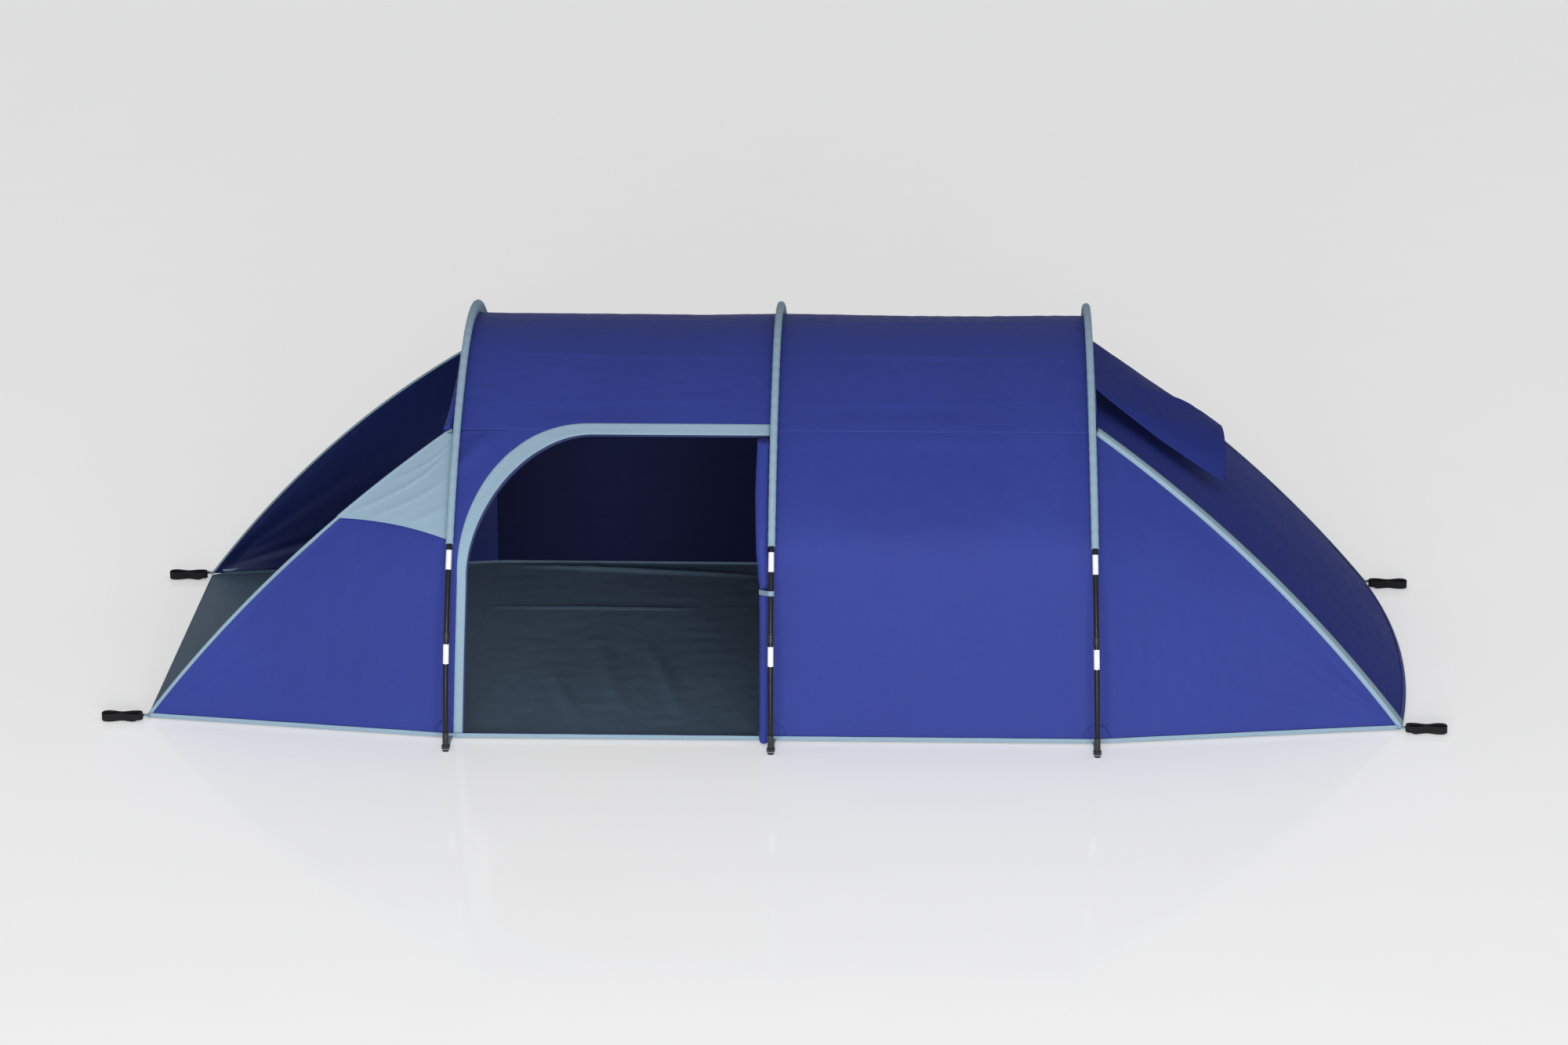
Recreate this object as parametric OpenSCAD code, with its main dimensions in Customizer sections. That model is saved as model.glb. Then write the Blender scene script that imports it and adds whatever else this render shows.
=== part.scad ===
/* [Hoops] */
// Distance between neighbouring pole hoops
hoop_spacing = 1000; // [950:10:1050]
// Half the distance between a hoop's two feet
foot_half = 887; // [860:1:900]
// Height of the pole's centreline at the top of a hoop
hoop_h = 1143; // [1130:1:1160]
// Radius of the crown of a hoop
crown_r = 555; // [545:1:570]
// Angle from the top of a hoop to where its straighter legs begin
crown_angle = 27; // [25:0.5:30]
// Inward lean of the front and rear hoops, in degrees
hoop_lean = 1.3; // [0:0.1:1.5]
// Diameter of the pole tube
pole_d = 16; // [14:0.5:17]
// Diameter of the metal ferrule at a pole joint
ferrule_d = 18; // [17.5:0.5:18.5]
// Length of a ferrule
ferrule_len = 60; // [40:5:70]
// Height of the lower pole joint
low_joint_h = 308; // [290:1:330]
// Height of the upper pole joint that shows below the sleeve
high_joint_h = 578; // [565:1:582]

/* [Sleeves] */
// Height at which a pole sleeve ends
sleeve_end_h = 621; // [616:1:635]
// Width of a sleeve across the pole
sleeve_w = 22; // [21.5:0.5:23]
// Distance from the pole's centre to the fabric that it holds up
pole_stand = 28; // [26:1:32]

/* [Fabric] */
// Thickness of the wall and roof cloth
cloth = 1.5; // [1.2:0.1:2]
// Height of the seam between roof and walls
seam_h = 905; // [895:1:915]
// Half the width between the near and far hems along the tunnel
hem_half = 788; // [780:1:795]
// Height of the hem's lower edge above the ground
hem_z = 6; // [5:1:8]
// Height of the light hem band
hem_h = 12; // [10:1:14]
// Thickness of the groundsheet
floor_t = 3; // [2.5:0.5:4]

/* [Porch and rear] */
// Distance from the middle hoop to the porch's front corners
front_reach = 1964; // [1900:1:2000]
// Half the width between the front corners
front_half = 644; // [620:1:660]
// Distance from the middle hoop to the rear corners
rear_reach = 1948; // [1900:1:2000]
// Half the width between the rear corners
rear_half = 650; // [620:1:670]
// Outward bulge of the rear hem at its middle
rear_bulge = 58; // [40:1:60]
// Convex rise of the porch wing's free edge
wing_bulge = 58; // [45:1:65]
// Outward bow of the porch wing's free edge
wing_bow = 45; // [0:1:60]
// Convex rise of the rear seam
seam_bulge = 50; // [40:1:60]

/* [Side door] */
// Distance from the middle hoop to the foot of the door's jamb
door_w = 959; // [950:1:965]
// Height of the door opening
door_h = 893; // [888:1:898]
// Width of the door's light trim at the header
trim_w = 25; // [20:1:28]
// Diameter of the rolled side door
roll_d = 40; // [36:1:42]

/* [Vent hood] */
// Half the width of the vent hood
hood_half = 250; // [240:5:260]
// How far the hood's free edge reaches from the rear hoop
hood_reach = 416; // [400:2:430]

/* [Guy ropes] */
// Length of a tied-up guy rope hank
hank_len = 134; // [120:1:140]
// Width of a hank
hank_w = 34; // [30:1:36]
// Height of a hank
hank_h = 26; // [24:1:28]

/* [Hidden] */
$fn = 48;
big = 3000;
gap = 0.6;
mid_x = -11;
NEAR = -1;
FAR = 1;

fabric_blue = [0.10, 0.13, 0.50];
trim_blue = [0.42, 0.58, 0.68];
dark_blue = [0.04, 0.05, 0.20];
slate = [0.20, 0.27, 0.34];
black = [0.06, 0.06, 0.05];
silver = [0.80, 0.81, 0.84];

// ---- the arch: a crown arc and two longer leg arcs, tangent to each other ----

crown_z = hoop_h - crown_r;
join_y = crown_r * sin(crown_angle);
join_z = crown_z + crown_r * cos(crown_angle);
leg_run = foot_half - join_y;
leg_r = (leg_run * leg_run + join_z * join_z)
    / (2 * (join_z * cos(crown_angle) - leg_run * sin(crown_angle)));
leg_y = join_y - leg_r * sin(crown_angle);
leg_z = join_z - leg_r * cos(crown_angle);

// Angle on a leg arc, from straight up, of the point at height z
function leg_angle(z, off = 0) = acos((z - leg_z) / (leg_r + off));
foot_angle = leg_angle(0);

// Angle of the point at height z on the arch moved outward by off
function arch_angle(z, off) =
    let (join = crown_z + (crown_r + off) * cos(crown_angle))
    z > join ? acos((z - crown_z) / (crown_r + off)) : leg_angle(z, off);

// [half width, height] of the arch at an angle, moved outward by off
function arch_point(a, off) =
    a <= crown_angle
        ? [(crown_r + off) * sin(a), crown_z + (crown_r + off) * cos(a)]
        : [leg_y + (leg_r + off) * sin(a), leg_z + (leg_r + off) * cos(a)];
function arch_half(z, off) = arch_point(arch_angle(z, off), off)[0];

// Half width of the cloth at height z, in moved outward from the cloth's face
function wall_half(z, in = 0) =
    let (off = -pole_stand + in)
    z >= sleeve_end_h
        ? arch_half(z, off)
        : let (top = arch_half(sleeve_end_h, off))
          hem_half + in + (top - hem_half - in) * z / sleeve_end_h;
seam_half = wall_half(seam_h);

// Places of the hoops along the tent, and how far each leans per millimetre of height
hoop_x = [mid_x - hoop_spacing, mid_x, mid_x + hoop_spacing];
hoop_tilt = [hoop_lean, 0, -hoop_lean];
function hoop_at(i, z) = hoop_x[i] + z * tan(hoop_tilt[i]);

module at_hoop(i) {
    translate([hoop_x[i], 0, 0])
        rotate([0, hoop_tilt[i], 0])
            children();
}

// Revolves a flat section about an axis along the tent; x of the section is the radius
module turn(centre_y, centre_z, from, to) {
    translate([0, centre_y, centre_z])
        rotate([0, -90, 180])
            rotate([0, 0, from])
                rotate_extrude(angle = to - from, $fn = 180)
                    children();
}

// Sweeps a section along the crown between two angles, positive towards the near side
module crown_sweep(from, to) {
    turn(0, crown_z, from, to)
        translate([crown_r, 0])
            children();
}

// Sweeps a section along a leg between two angles
module leg_sweep(side, from, to) {
    mirror([0, side == FAR ? 1 : 0, 0])
        turn(-leg_y, leg_z, from, to)
            translate([leg_r, 0])
                children();
}

// The three lengths of an arch, a hair apart where the radius changes
joint_gap = 0.02;

module whole_arch(end_angle) {
    crown_sweep(-crown_angle, crown_angle)
        children();
    for (side = [NEAR, FAR])
        leg_sweep(side, crown_angle + joint_gap, end_angle)
            children();
}

function flat(rows) = [for (row = rows) for (p = row) p];

// Closed solid through a stack of rings with the same number of points, lowest first
module loft(rings) {
    n = len(rings[0]);
    m = len(rings);
    polyhedron(
        points = flat(rings),
        faces = concat(
            [[for (k = [0:n - 1]) k]],
            [for (r = [0:m - 2]) for (k = [0:n - 1])
                let (a = r * n + k, b = r * n + (k + 1) % n)
                each [[a, a + n, b + n], [a, b + n, b]]],
            [[for (k = [n - 1:-1:0]) (m - 1) * n + k]]
        )
    );
}

module ring(outer, bore) {
    difference() {
        circle(d = outer);
        circle(d = bore);
    }
}

// ---- poles ----

pole_bore = 8;
slip = 0.1;
cap_h = 62;
cap_d = 19.5;
cap_floor = 24;
collar_d = 22;
collar_z = [350, 374];
shock_d = 3;
low_joint = leg_angle(low_joint_h);
high_joint = leg_angle(high_joint_h);
upper_joint = (high_joint + crown_angle) / 2;
pole_end = leg_angle(cap_floor);
leg_joints = [pole_end, low_joint, high_joint, upper_joint, crown_angle];
crown_joints = [crown_angle, 0, -crown_angle];
ferrule_leg = ferrule_len / 2 / leg_r * 180 / PI;
ferrule_crown = ferrule_len / 2 / crown_r * 180 / PI;

module pole(i) {
    color(black)
        at_hoop(i) {
            for (side = [NEAR, FAR])
                for (k = [0:3])
                    leg_sweep(side, leg_joints[k + 1] + joint_gap, leg_joints[k] - joint_gap)
                        ring(pole_d, pole_bore);
            for (k = [0:1])
                crown_sweep(crown_joints[k + 1] + joint_gap, crown_joints[k] - joint_gap)
                    ring(pole_d, pole_bore);
        }
}

module ferrules(i) {
    color(silver)
        at_hoop(i) {
            for (side = [NEAR, FAR])
                for (a = [low_joint, high_joint, upper_joint])
                    leg_sweep(side, a - ferrule_leg, a + ferrule_leg)
                        ring(ferrule_d, pole_d + slip);
            crown_sweep(-ferrule_crown, ferrule_crown)
                ring(ferrule_d, pole_d + slip);
        }
}

module collars(i) {
    color(black)
        at_hoop(i)
            for (side = [NEAR, FAR])
                leg_sweep(side, leg_angle(collar_z[1]), leg_angle(collar_z[0]))
                    ring(collar_d, pole_d + slip);
}

// Foot: a tube over the pole's end, a flange, a neck and a tip that stands on the ground
flange_d = 25;
flange_z = [11, 21];
neck_d = 16;
neck_z = [4, 10];
tip_d = 20;
spigot_d = 17.5;

module foot_plug() {
    rotate_extrude()
        polygon([
            [0, -4], [tip_d / 2, -4], [tip_d / 2, neck_z[0] - 1], [neck_d / 2, neck_z[0]],
            [neck_d / 2, neck_z[1]], [flange_d / 2 - 2, flange_z[0]],
            [flange_d / 2, flange_z[0] + 2], [flange_d / 2, flange_z[1] - 2],
            [flange_d / 2 - 2, flange_z[1]], [spigot_d / 2, flange_z[1] + 1],
            [spigot_d / 2, cap_floor], [0, cap_floor]
        ]);
}

module foot_caps(i) {
    color(black)
        difference() {
            at_hoop(i)
                for (side = [NEAR, FAR]) {
                    leg_sweep(side, leg_angle(cap_h), leg_angle(cap_floor - 1.5))
                        ring(cap_d, pole_d + slip);
                    mirror([0, side == FAR ? 1 : 0, 0])
                        translate([0, -arch_half(cap_floor, 0), cap_floor])
                            rotate([pole_end - 90, 0, 0])
                                translate([0, 0, -cap_floor])
                                    foot_plug();
                }
            translate([-big / 2, -big / 2, -100])
                cube([big, big, 100]);
        }
}

module shock_cords() {
    color("dimgray")
        for (i = [0:2])
            at_hoop(i)
                whole_arch(pole_end - 0.2)
                    circle(d = shock_d);
}

// ---- sleeves ----

sleeve_bore = 19;
neck_w = 15;

// The sleeve is a flat tube of cloth that stands up from the roof like a fin
module sleeve_section() {
    difference() {
        union() {
            circle(d = sleeve_w);
            polygon([
                [0, -sleeve_w / 2], [0, sleeve_w / 2],
                [-pole_stand + gap, neck_w / 2], [-pole_stand + gap, -neck_w / 2]
            ]);
        }
        circle(d = sleeve_bore);
    }
}

module sleeve(i) {
    color(trim_blue)
        at_hoop(i)
            whole_arch(leg_angle(sleeve_end_h))
                sleeve_section();
}

// ---- bays between the hoops ----

roof_steps = 24;
wall_steps = 6;
inner = -cloth;

// Outline from the far seam over the top to the near seam, as [y, z]
function roof_line(in) =
    let (a = arch_angle(seam_h, -pole_stand + in))
    [for (k = [0:roof_steps])
        let (t = a * (1 - 2 * k / roof_steps), p = arch_point(abs(t), -pole_stand + in))
        [sign(t) * p[0], p[1]]];

// Outline of one wall from the hem up to height top, as [half width, z]
function wall_line(in, top) = concat(
    [[wall_half(hem_z, in), hem_z]],
    [for (k = [0:wall_steps])
        let (z = sleeve_end_h + (seam_h - sleeve_end_h) * k / wall_steps)
        [wall_half(z, in), z]],
    top > seam_h ? [[wall_half(top, in), top]] : []
);

function reversed(list) = [for (k = [len(list) - 1:-1:0]) list[k]];

// The part of a child between hoops i and i + 1
module bay(i) {
    intersection() {
        children();
        rotate([90, 0, 0])
            linear_extrude(big, center = true)
                polygon([
                    [hoop_at(i, 0), 0], [hoop_at(i + 1, 0), 0],
                    [hoop_at(i + 1, 1400), 1400], [hoop_at(i, 1400), 1400]
                ]);
    }
}

// Extrudes an outline given as [y, z] along the tent over the whole tunnel
module along_tunnel() {
    translate([mid_x - hoop_spacing, 0, 0])
        rotate([90, 0, 90])
            linear_extrude(2 * hoop_spacing)
                children();
}

module roof(i) {
    color(fabric_blue)
        bay(i)
            along_tunnel()
                polygon(concat(roof_line(0), reversed(roof_line(inner))));
}

module wall_shell(side, out, in, top) {
    along_tunnel()
        mirror([side == NEAR ? 1 : 0, 0])
            polygon(concat(wall_line(out, top), reversed(wall_line(in, top))));
}

module wall(i, side) {
    color(fabric_blue)
        bay(i)
            wall_shell(side, 0, inner, seam_h);
}

// ---- side door ----

corner_x = 560;
corner_z = 500;
jamb_slope = 18;
trim_t = 1.5;
trim_over = 0.3;
door_edge = 12;
header_top = door_h + trim_w;

// Door outline in x and z: a jamb, a rounded shoulder of the given power and a level header
function door_line(jamb, head, power, foot) = concat(
    [[-jamb, foot]],
    [for (k = [0:16])
        let (t = 90 * k / 16)
        [-corner_x - (jamb - jamb_slope - corner_x) * pow(cos(t), 2 / power),
         corner_z + (head - corner_z) * pow(sin(t), 2 / power)]],
    [[-door_edge, head], [-door_edge, foot]]
);

module door_prism(jamb, head, power, foot) {
    translate([mid_x, 0, 0])
        rotate([90, 0, 0])
            linear_extrude(big / 2)
                polygon(door_line(jamb, head, power, foot));
}

module door_opening() {
    door_prism(door_w, door_h, 2, hem_z + hem_h);
}

module door_wall() {
    color(fabric_blue)
        difference() {
            bay(0)
                wall_shell(NEAR, 0, inner, seam_h);
            door_opening();
        }
}

module door_trim() {
    color(trim_blue)
        difference() {
            intersection() {
                wall_shell(NEAR, trim_over + trim_t, trim_over, header_top);
                door_prism(door_w + trim_w + 2, header_top, 2.28, hem_z + hem_h + gap);
            }
            door_prism(door_w, door_h, 2, -1);
        }
}

// The door panel rolled up and hanging down beside the middle hoop, outside the wall
roll_x = -33;
roll_off = -pole_stand + roll_d / 2 + 2.5;
roll_foot_y = 818;
roll_foot_z = 27;
roll_bend_z = 640;

function roll_half(z) =
    z >= roll_bend_z
        ? arch_half(z, roll_off)
        : let (bend = arch_half(roll_bend_z, roll_off))
          bend + (roll_foot_y - bend) * (roll_bend_z - z) / (roll_bend_z - roll_foot_z);

// Rings of the roll, from its rounded foot up to the header: [height, share of full radius]
roll_rings = [
    [7, 0.45], [12, 0.8], [20, 0.97], [27, 1], [240, 1], [450, 1],
    [600, 1], [700, 1], [800, 1], [880, 1], [892, 0.8]
];

module rolled_side_door() {
    sides = 16;
    color(fabric_blue)
        loft([for (r = roll_rings) [for (k = [0:sides - 1])
            let (a = 360 * k / sides, radius = roll_d / 2 * r[1])
            [mid_x + roll_x + radius * cos(a), -roll_half(r[0]) + radius * sin(a), r[0]]]]);
}

// Strap that ties the roll to the pole
tie_z = 480;
tie_h = 20;
tie_t = 2;

module tie_outline(grow) {
    hull() {
        translate([roll_x, -roll_half(tie_z)])
            circle(d = roll_d + 4 + 2 * grow, $fn = 32);
        translate([0, -arch_half(tie_z, 0)])
            circle(d = pole_d + 10 + 2 * grow, $fn = 32);
    }
}

module door_tie() {
    color(trim_blue)
        translate([mid_x, 0, tie_z - tie_h / 2])
            linear_extrude(tie_h)
                difference() {
                    tie_outline(tie_t);
                    tie_outline(0);
                }
}

// Zip sliders on the inner face of the header and of the sill, with their pull tabs
slider = [9, 5, 14];
tab = [5, 1.2];
header_slider_z = 896;
sill_slider_in = 4.5;

module zip_slider() {
    translate([-slider[0] / 2, 0, 0])
        cube(slider);
    translate([-tab[0] / 2, slider[1], 1])
        cube([tab[0], tab[1], slider[2]]);
}

module header_zip_slider() {
    color(black)
        translate([mid_x + roll_x, -wall_half(header_slider_z, inner - gap), header_slider_z])
            rotate([arch_angle(header_slider_z, -pole_stand) - 90, 0, 0])
                zip_slider();
}

module sill_zip_slider() {
    color(black)
        translate([mid_x + roll_x, -hem_half + cloth + sill_slider_in, floor_t + gap])
            zip_slider();
}

// ---- sheets made of a grid of points, with a thickness along one direction ----

function slab_faces(nr, nc) =
    let (n = nr * nc)
    concat(
        [for (r = [0:nr - 2]) for (c = [0:nc - 2])
            let (a = r * nc + c, b = a + 1, d = a + nc, e = d + 1)
            each [[a, b, e], [a, e, d], [a + n, e + n, b + n], [a + n, d + n, e + n]]],
        [for (c = [0:nc - 2])
            let (a = c, b = a + 1, d = (nr - 1) * nc + c, e = d + 1)
            each [[a, a + n, b + n], [a, b + n, b], [d, e, e + n], [d, e + n, d + n]]],
        [for (r = [0:nr - 2])
            let (a = r * nc, d = a + nc, b = a + nc - 1, e = b + nc)
            each [[a, d, d + n], [a, d + n, a + n], [b, b + n, e + n], [b, e + n, e]]]
    );

// Closed solid between a grid of points and the same grid moved by shift
module slab(rows, shift) {
    points = flat(rows);
    polyhedron(
        points = concat(points, [for (p = points) p + shift]),
        faces = slab_faces(len(rows), len(rows[0]))
    );
}

// ---- porch wings and rear sides ----

edge_in = 12;

// Free edge from a ground corner (t = 0) to the seam at an end hoop (t = 1), near side
function end_edge(dir, t) =
    let (
        i = dir < 0 ? 0 : 2,
        corner = [mid_x + (dir < 0 ? -front_reach : rear_reach),
                  -(dir < 0 ? front_half : rear_half), hem_z],
        top = [hoop_at(i, seam_h) + dir * edge_in, -seam_half, seam_h],
        chord = top - corner,
        rise = [-dir * -chord[2], 0, abs(chord[0])] / norm([chord[0], chord[2]]),
        bulge = dir < 0 ? wing_bulge : seam_bulge,
        bow = dir < 0 ? wing_bow : 0
    )
    corner + t * chord + 4 * t * (1 - t) * (bulge * rise - bow * [0, 1, 0]);

// Unit direction square to that edge, up and outward
function edge_out(dir, t) =
    let (d = end_edge(dir, min(t + 0.01, 1)) - end_edge(dir, max(t - 0.01, 0)))
    [dir * abs(d[2]), 0, abs(d[0])] / norm([d[0], d[2]]);

// Point of the cloth between a hoop's leg (u = 0) and the free edge (u = 1)
function side_point(dir, u, t) =
    let (
        i = dir < 0 ? 0 : 2,
        z = hem_z + t * (seam_h - hem_z),
        leg = [hoop_at(i, z) + dir * gap, -wall_half(z), z]
    )
    leg + u * (end_edge(dir, t) - leg);

side_t = 12;
side_u = 6;

module end_side(dir) {
    rows = [for (r = [0:side_t]) [for (c = [0:side_u])
        side_point(dir, dir < 0 ? 1 - c / side_u : c / side_u, r / side_t)]];
    slab(rows, [0, cloth, 0]);
}

module wing(side) {
    color(fabric_blue)
        mirror([0, side == FAR ? 1 : 0, 0])
            end_side(-1);
}

module rear_side(side) {
    color(fabric_blue)
        mirror([0, side == FAR ? 1 : 0, 0])
            end_side(1);
}

// Narrow band that binds the wing's free edge
piping_w = 7;
piping_t = 3;

module wing_piping(side) {
    rows = [for (r = [0:side_t])
        let (t = 0.02 + 0.96 * r / side_t, p = end_edge(-1, t) + edge_out(-1, t) * gap)
        [p + [0, -piping_t, 0] + edge_out(-1, t) * piping_w, p + [0, -piping_t, 0]]];
    color(trim_blue)
        mirror([0, side == FAR ? 1 : 0, 0])
            slab(rows, [0, piping_t + cloth, 0]);
}

// Light flap over the wing's top corner, its lower hem standing off the wing
flap_low = 0.668;
flap_slope = 0.012;
flap_sag = 0.017;
flap_off = 5;
flap_lift = 7;
flap_clear = 12.5;

function flap_point(u, v) =
    let (low = flap_low + flap_slope * (1 - u) + flap_sag * 4 * u * (1 - u),
         t = low + (0.985 - low) * v)
    let (p = side_point(-1, u, t), stand = flap_off + flap_lift * pow(1 - v, 3) * 4 * u * (1 - u))
    [min(p[0], hoop_at(0, p[2]) - flap_clear), p[1] - stand, p[2]];

module wing_flap(side) {
    rows = [for (r = [0:8]) [for (c = [0:6]) flap_point(0.97 - 0.92 * c / 6, r / 8)]];
    color(trim_blue)
        mirror([0, side == FAR ? 1 : 0, 0])
            slab(rows, [0, 1.5, 0]);
}

// ---- rolled front door under the crown of the front hoop ----

front_roll_w = 28;
front_roll_h = 48;
front_roll_x = -16;
front_roll_off = -pole_stand - cloth - front_roll_h / 2 - 2;
front_roll_end = leg_angle(seam_h + 4, front_roll_off);

module stadium(w, h) {
    union() {
        square([h - w, w], center = true);
        for (s = [-1, 1])
            translate([s * (h - w) / 2, 0])
                circle(d = w);
    }
}

module front_roll_sweep(from, to) {
    at_hoop(0)
        translate([front_roll_x, 0, 0])
            crown_sweep(from, to)
                translate([front_roll_off, 0])
                    children();
}

module rolled_front_door() {
    color(fabric_blue)
        at_hoop(0)
            translate([front_roll_x, 0, 0])
                whole_arch(front_roll_end)
                    translate([front_roll_off, 0])
                        stadium(front_roll_w, front_roll_h);
}

front_tie_angles = [-22, 0, 22];

module front_door_ties() {
    half = 1;
    color(trim_blue)
        for (a = front_tie_angles)
            front_roll_sweep(a - half, a + half)
                difference() {
                    stadium(front_roll_w + 3.4, front_roll_h + 3.4);
                    stadium(front_roll_w + 0.4, front_roll_h + 0.4);
                }
}

// ---- rear end ----

top_crown = 12;
seam_share = 0.992;
end_t = 14;
end_v = 12;

// Crown of the end panel at its middle, from its hem (t = 0) to its top (t = 1)
function end_crown(t) = rear_bulge * (1 - t) + top_crown * t;

function end_point(v, t) =
    let (e = end_edge(1, t), lift = end_crown(t) * (1 - v * v))
    [e[0] + lift * cos(90 * t), -v * e[1], e[2] + lift * sin(90 * t)];

module rear_end_panel() {
    rows = [for (r = [0:end_t]) [for (c = [0:end_v])
        end_point(seam_share * (-1 + 2 * c / end_v), r / end_t)]];
    color(fabric_blue)
        slab(rows, [-1.5, 0, -1.5]);
}

// Upright panel that closes the arch above the end panel
module rear_gable() {
    steps = 12;
    top = arch_angle(seam_h, -pole_stand + inner - gap);
    over = [for (k = [0:roof_steps])
        let (t = top * (1 - 2 * k / roof_steps),
             p = arch_point(abs(t), -pole_stand + inner - gap))
        [sign(t) * p[0], p[1]]];
    half = over[0][0];
    under = [for (k = [1:steps - 1])
        let (v = -1 + 2 * k / steps)
        [v * half, seam_h + (top_crown + 3) * (1 - v * v)]];
    color(fabric_blue)
        at_hoop(2)
            translate([-cloth - gap, 0, 0])
                rotate([90, 0, 90])
                    linear_extrude(cloth)
                        polygon(concat(over, under));
}

// Light band over the seam between the rear side and the end panel
band_top = 6;
band_wide = 30;
band_t = 6;
band_over = 6;

function band_row(t) =
    let (
        e = end_edge(1, t),
        n = edge_out(1, t),
        w = band_wide + (band_top - band_wide) * t,
        out = [e[0], e[1] - band_over, e[2]] + n * 1.2,
        into = [e[0], e[1] + w - band_over, e[2]] + n * (1.2 + 0.22 * w)
    )
    [out, into];

module seam_band(side) {
    n = edge_out(1, 0.5);
    rows = [for (r = [0:side_t]) band_row(0.005 + 0.965 * r / side_t)];
    color(trim_blue)
        mirror([0, side == FAR ? 1 : 0, 0])
            slab([for (row = rows) [for (p = row) p + n * band_t]], -n * band_t);
}

// Vent hood: an awning of cloth sewn to the gable, its free edge held up and crowned
hood_root_x = -12;
hood_root_z = 985;
hood_pitch = 36.8;
hood_crest = 62;
hood_far_lift = 18;
hood_t = 8;
hood_v = 10;

function hood_lift(v, t) =
    t * (hood_crest * (1 - v * v) + hood_far_lift * (1 + v) / 2);

function hood_point(v, t) = [
    hoop_x[2] + hood_root_x + hood_reach * t + 12 * t * (1 - v * v),
    v * hood_half,
    hood_root_z - hood_reach * tan(hood_pitch) * t + hood_lift(v, t)
];

module vent_hood() {
    rows = [for (r = [0:hood_t]) [for (c = [0:hood_v])
        hood_point(1 - 2 * c / hood_v, r / hood_t)]];
    color(fabric_blue)
        slab(rows, [-1.2, 0, -1.2]);
}

// Springy rod sewn under the hood's free edge
module vent_stiffener() {
    rod = 5;
    rows = [for (r = [0:1]) [for (c = [0:hood_v])
        hood_point(0.96 - 1.92 * c / hood_v, 0.955 + 0.012 * r) + [-1.8, 0, -2.2]]];
    color(black)
        slab(rows, [-rod / 2, 0, -rod / 2]);
}

// Mesh vent on the end panel, under the hood
module vent_mesh() {
    rows = [for (r = [0:6]) [for (c = [0:8])
        end_point(-0.36 + 0.72 * c / 8, 0.70 + 0.24 * r / 6) + [1.2, 0, 1.2]]];
    color("black")
        slab(rows, [-0.8, 0, -0.8]);
}

// ---- floor, hems, patches, tabs and loops ----

floor_in = 2;
front_x = mid_x - front_reach;
rear_x = mid_x + rear_reach;

module main_floor() {
    steps = 16;
    rear = [for (k = [0:steps])
        let (v = 1 - 2 * k / steps)
        [rear_x - floor_in + rear_bulge * (1 - v * v), v * (rear_half - floor_in)]];
    color(slate)
        linear_extrude(floor_t)
            polygon(concat(
                [[hoop_x[0], -hem_half + floor_in], [hoop_x[0], hem_half - floor_in],
                 [hoop_x[2], hem_half - floor_in]],
                rear,
                [[hoop_x[2], -hem_half + floor_in]]
            ));
}

module porch_floor() {
    color(slate)
        linear_extrude(floor_t)
            polygon([
                [hoop_x[0] - gap, hem_half - floor_in], [hoop_x[0] - gap, -hem_half + floor_in],
                [front_x, -front_half + floor_in], [front_x, front_half - floor_in]
            ]);
}

hem_t = 2;
hem_front = 10;
hem_rear = 34;

module long_hem(side) {
    path = [
        [front_x + hem_front, front_half + hem_front * (hem_half - front_half) / (front_reach - hoop_spacing)],
        [hoop_x[0], hem_half],
        [hoop_x[2], hem_half],
        [rear_x - hem_rear, rear_half + hem_rear * (hem_half - rear_half) / (rear_reach - hoop_spacing)]
    ];
    color(trim_blue)
        mirror([0, side == NEAR ? 1 : 0, 0])
            translate([0, 0, hem_z])
                linear_extrude(hem_h)
                    polygon(concat(
                        [for (p = path) p + [0, gap]],
                        [for (p = reversed(path)) p + [0, gap + hem_t]]
                    ));
}

// Hem of the end panel, on the outside of its foot
module rear_hem() {
    rows = [for (r = [0:1]) [for (c = [0:end_v])
        end_point(0.93 - 1.86 * c / end_v, 0.002 + 0.012 * r) + [2, 0, 1]]];
    color(trim_blue)
        slab(rows, [-1.2, 0, -0.6]);
}

// Half-round patches sewn on the wall above each foot
patch_r = 42;
patch_t = 1;

module foot_patches() {
    slope = atan2(hem_half - wall_half(sleeve_end_h), sleeve_end_h);
    foot = hem_z + hem_h + 2;
    color(fabric_blue)
        for (i = [0:2])
            for (side = [NEAR, FAR])
                mirror([0, side == FAR ? 1 : 0, 0])
                    translate([hoop_x[i], -wall_half(foot) - 2.2, foot])
                        rotate([90 - slope, 0, 0])
                            linear_extrude(patch_t)
                                intersection() {
                                    circle(r = patch_r);
                                    translate([-patch_r, 0])
                                        square([2 * patch_r, patch_r]);
                                }
}

// Webbing tab from the hem to a ring round the foot's neck
tab_z = 5.5;
tab_t = 2.5;

module foot_tabs() {
    ring_y = foot_half;
    color(trim_blue)
        for (i = [0:2])
            for (side = [NEAR, FAR])
                mirror([0, side == FAR ? 1 : 0, 0])
                    translate([hoop_x[i], 0, tab_z])
                        difference() {
                            linear_extrude(tab_t)
                                union() {
                                    translate([0, -ring_y])
                                        circle(d = neck_d + 12);
                                    polygon([
                                        [-13, -hem_half - gap - hem_t - gap],
                                        [13, -hem_half - gap - hem_t - gap],
                                        [7, -ring_y], [-7, -ring_y]
                                    ]);
                                }
                            translate([0, -ring_y, -1])
                                cylinder(d = neck_d + 2.4, h = tab_t + 2);
                        }
}

// Webbing loop at each ground corner, for a peg and the guy rope
loop_len = 20;
loop_w = 18;
loop_t = 3;
loop_z = 7;
loop_hole = 9;

function corner_at(dir) = dir < 0 ? [front_x, front_half] : [rear_x, rear_half];

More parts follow.
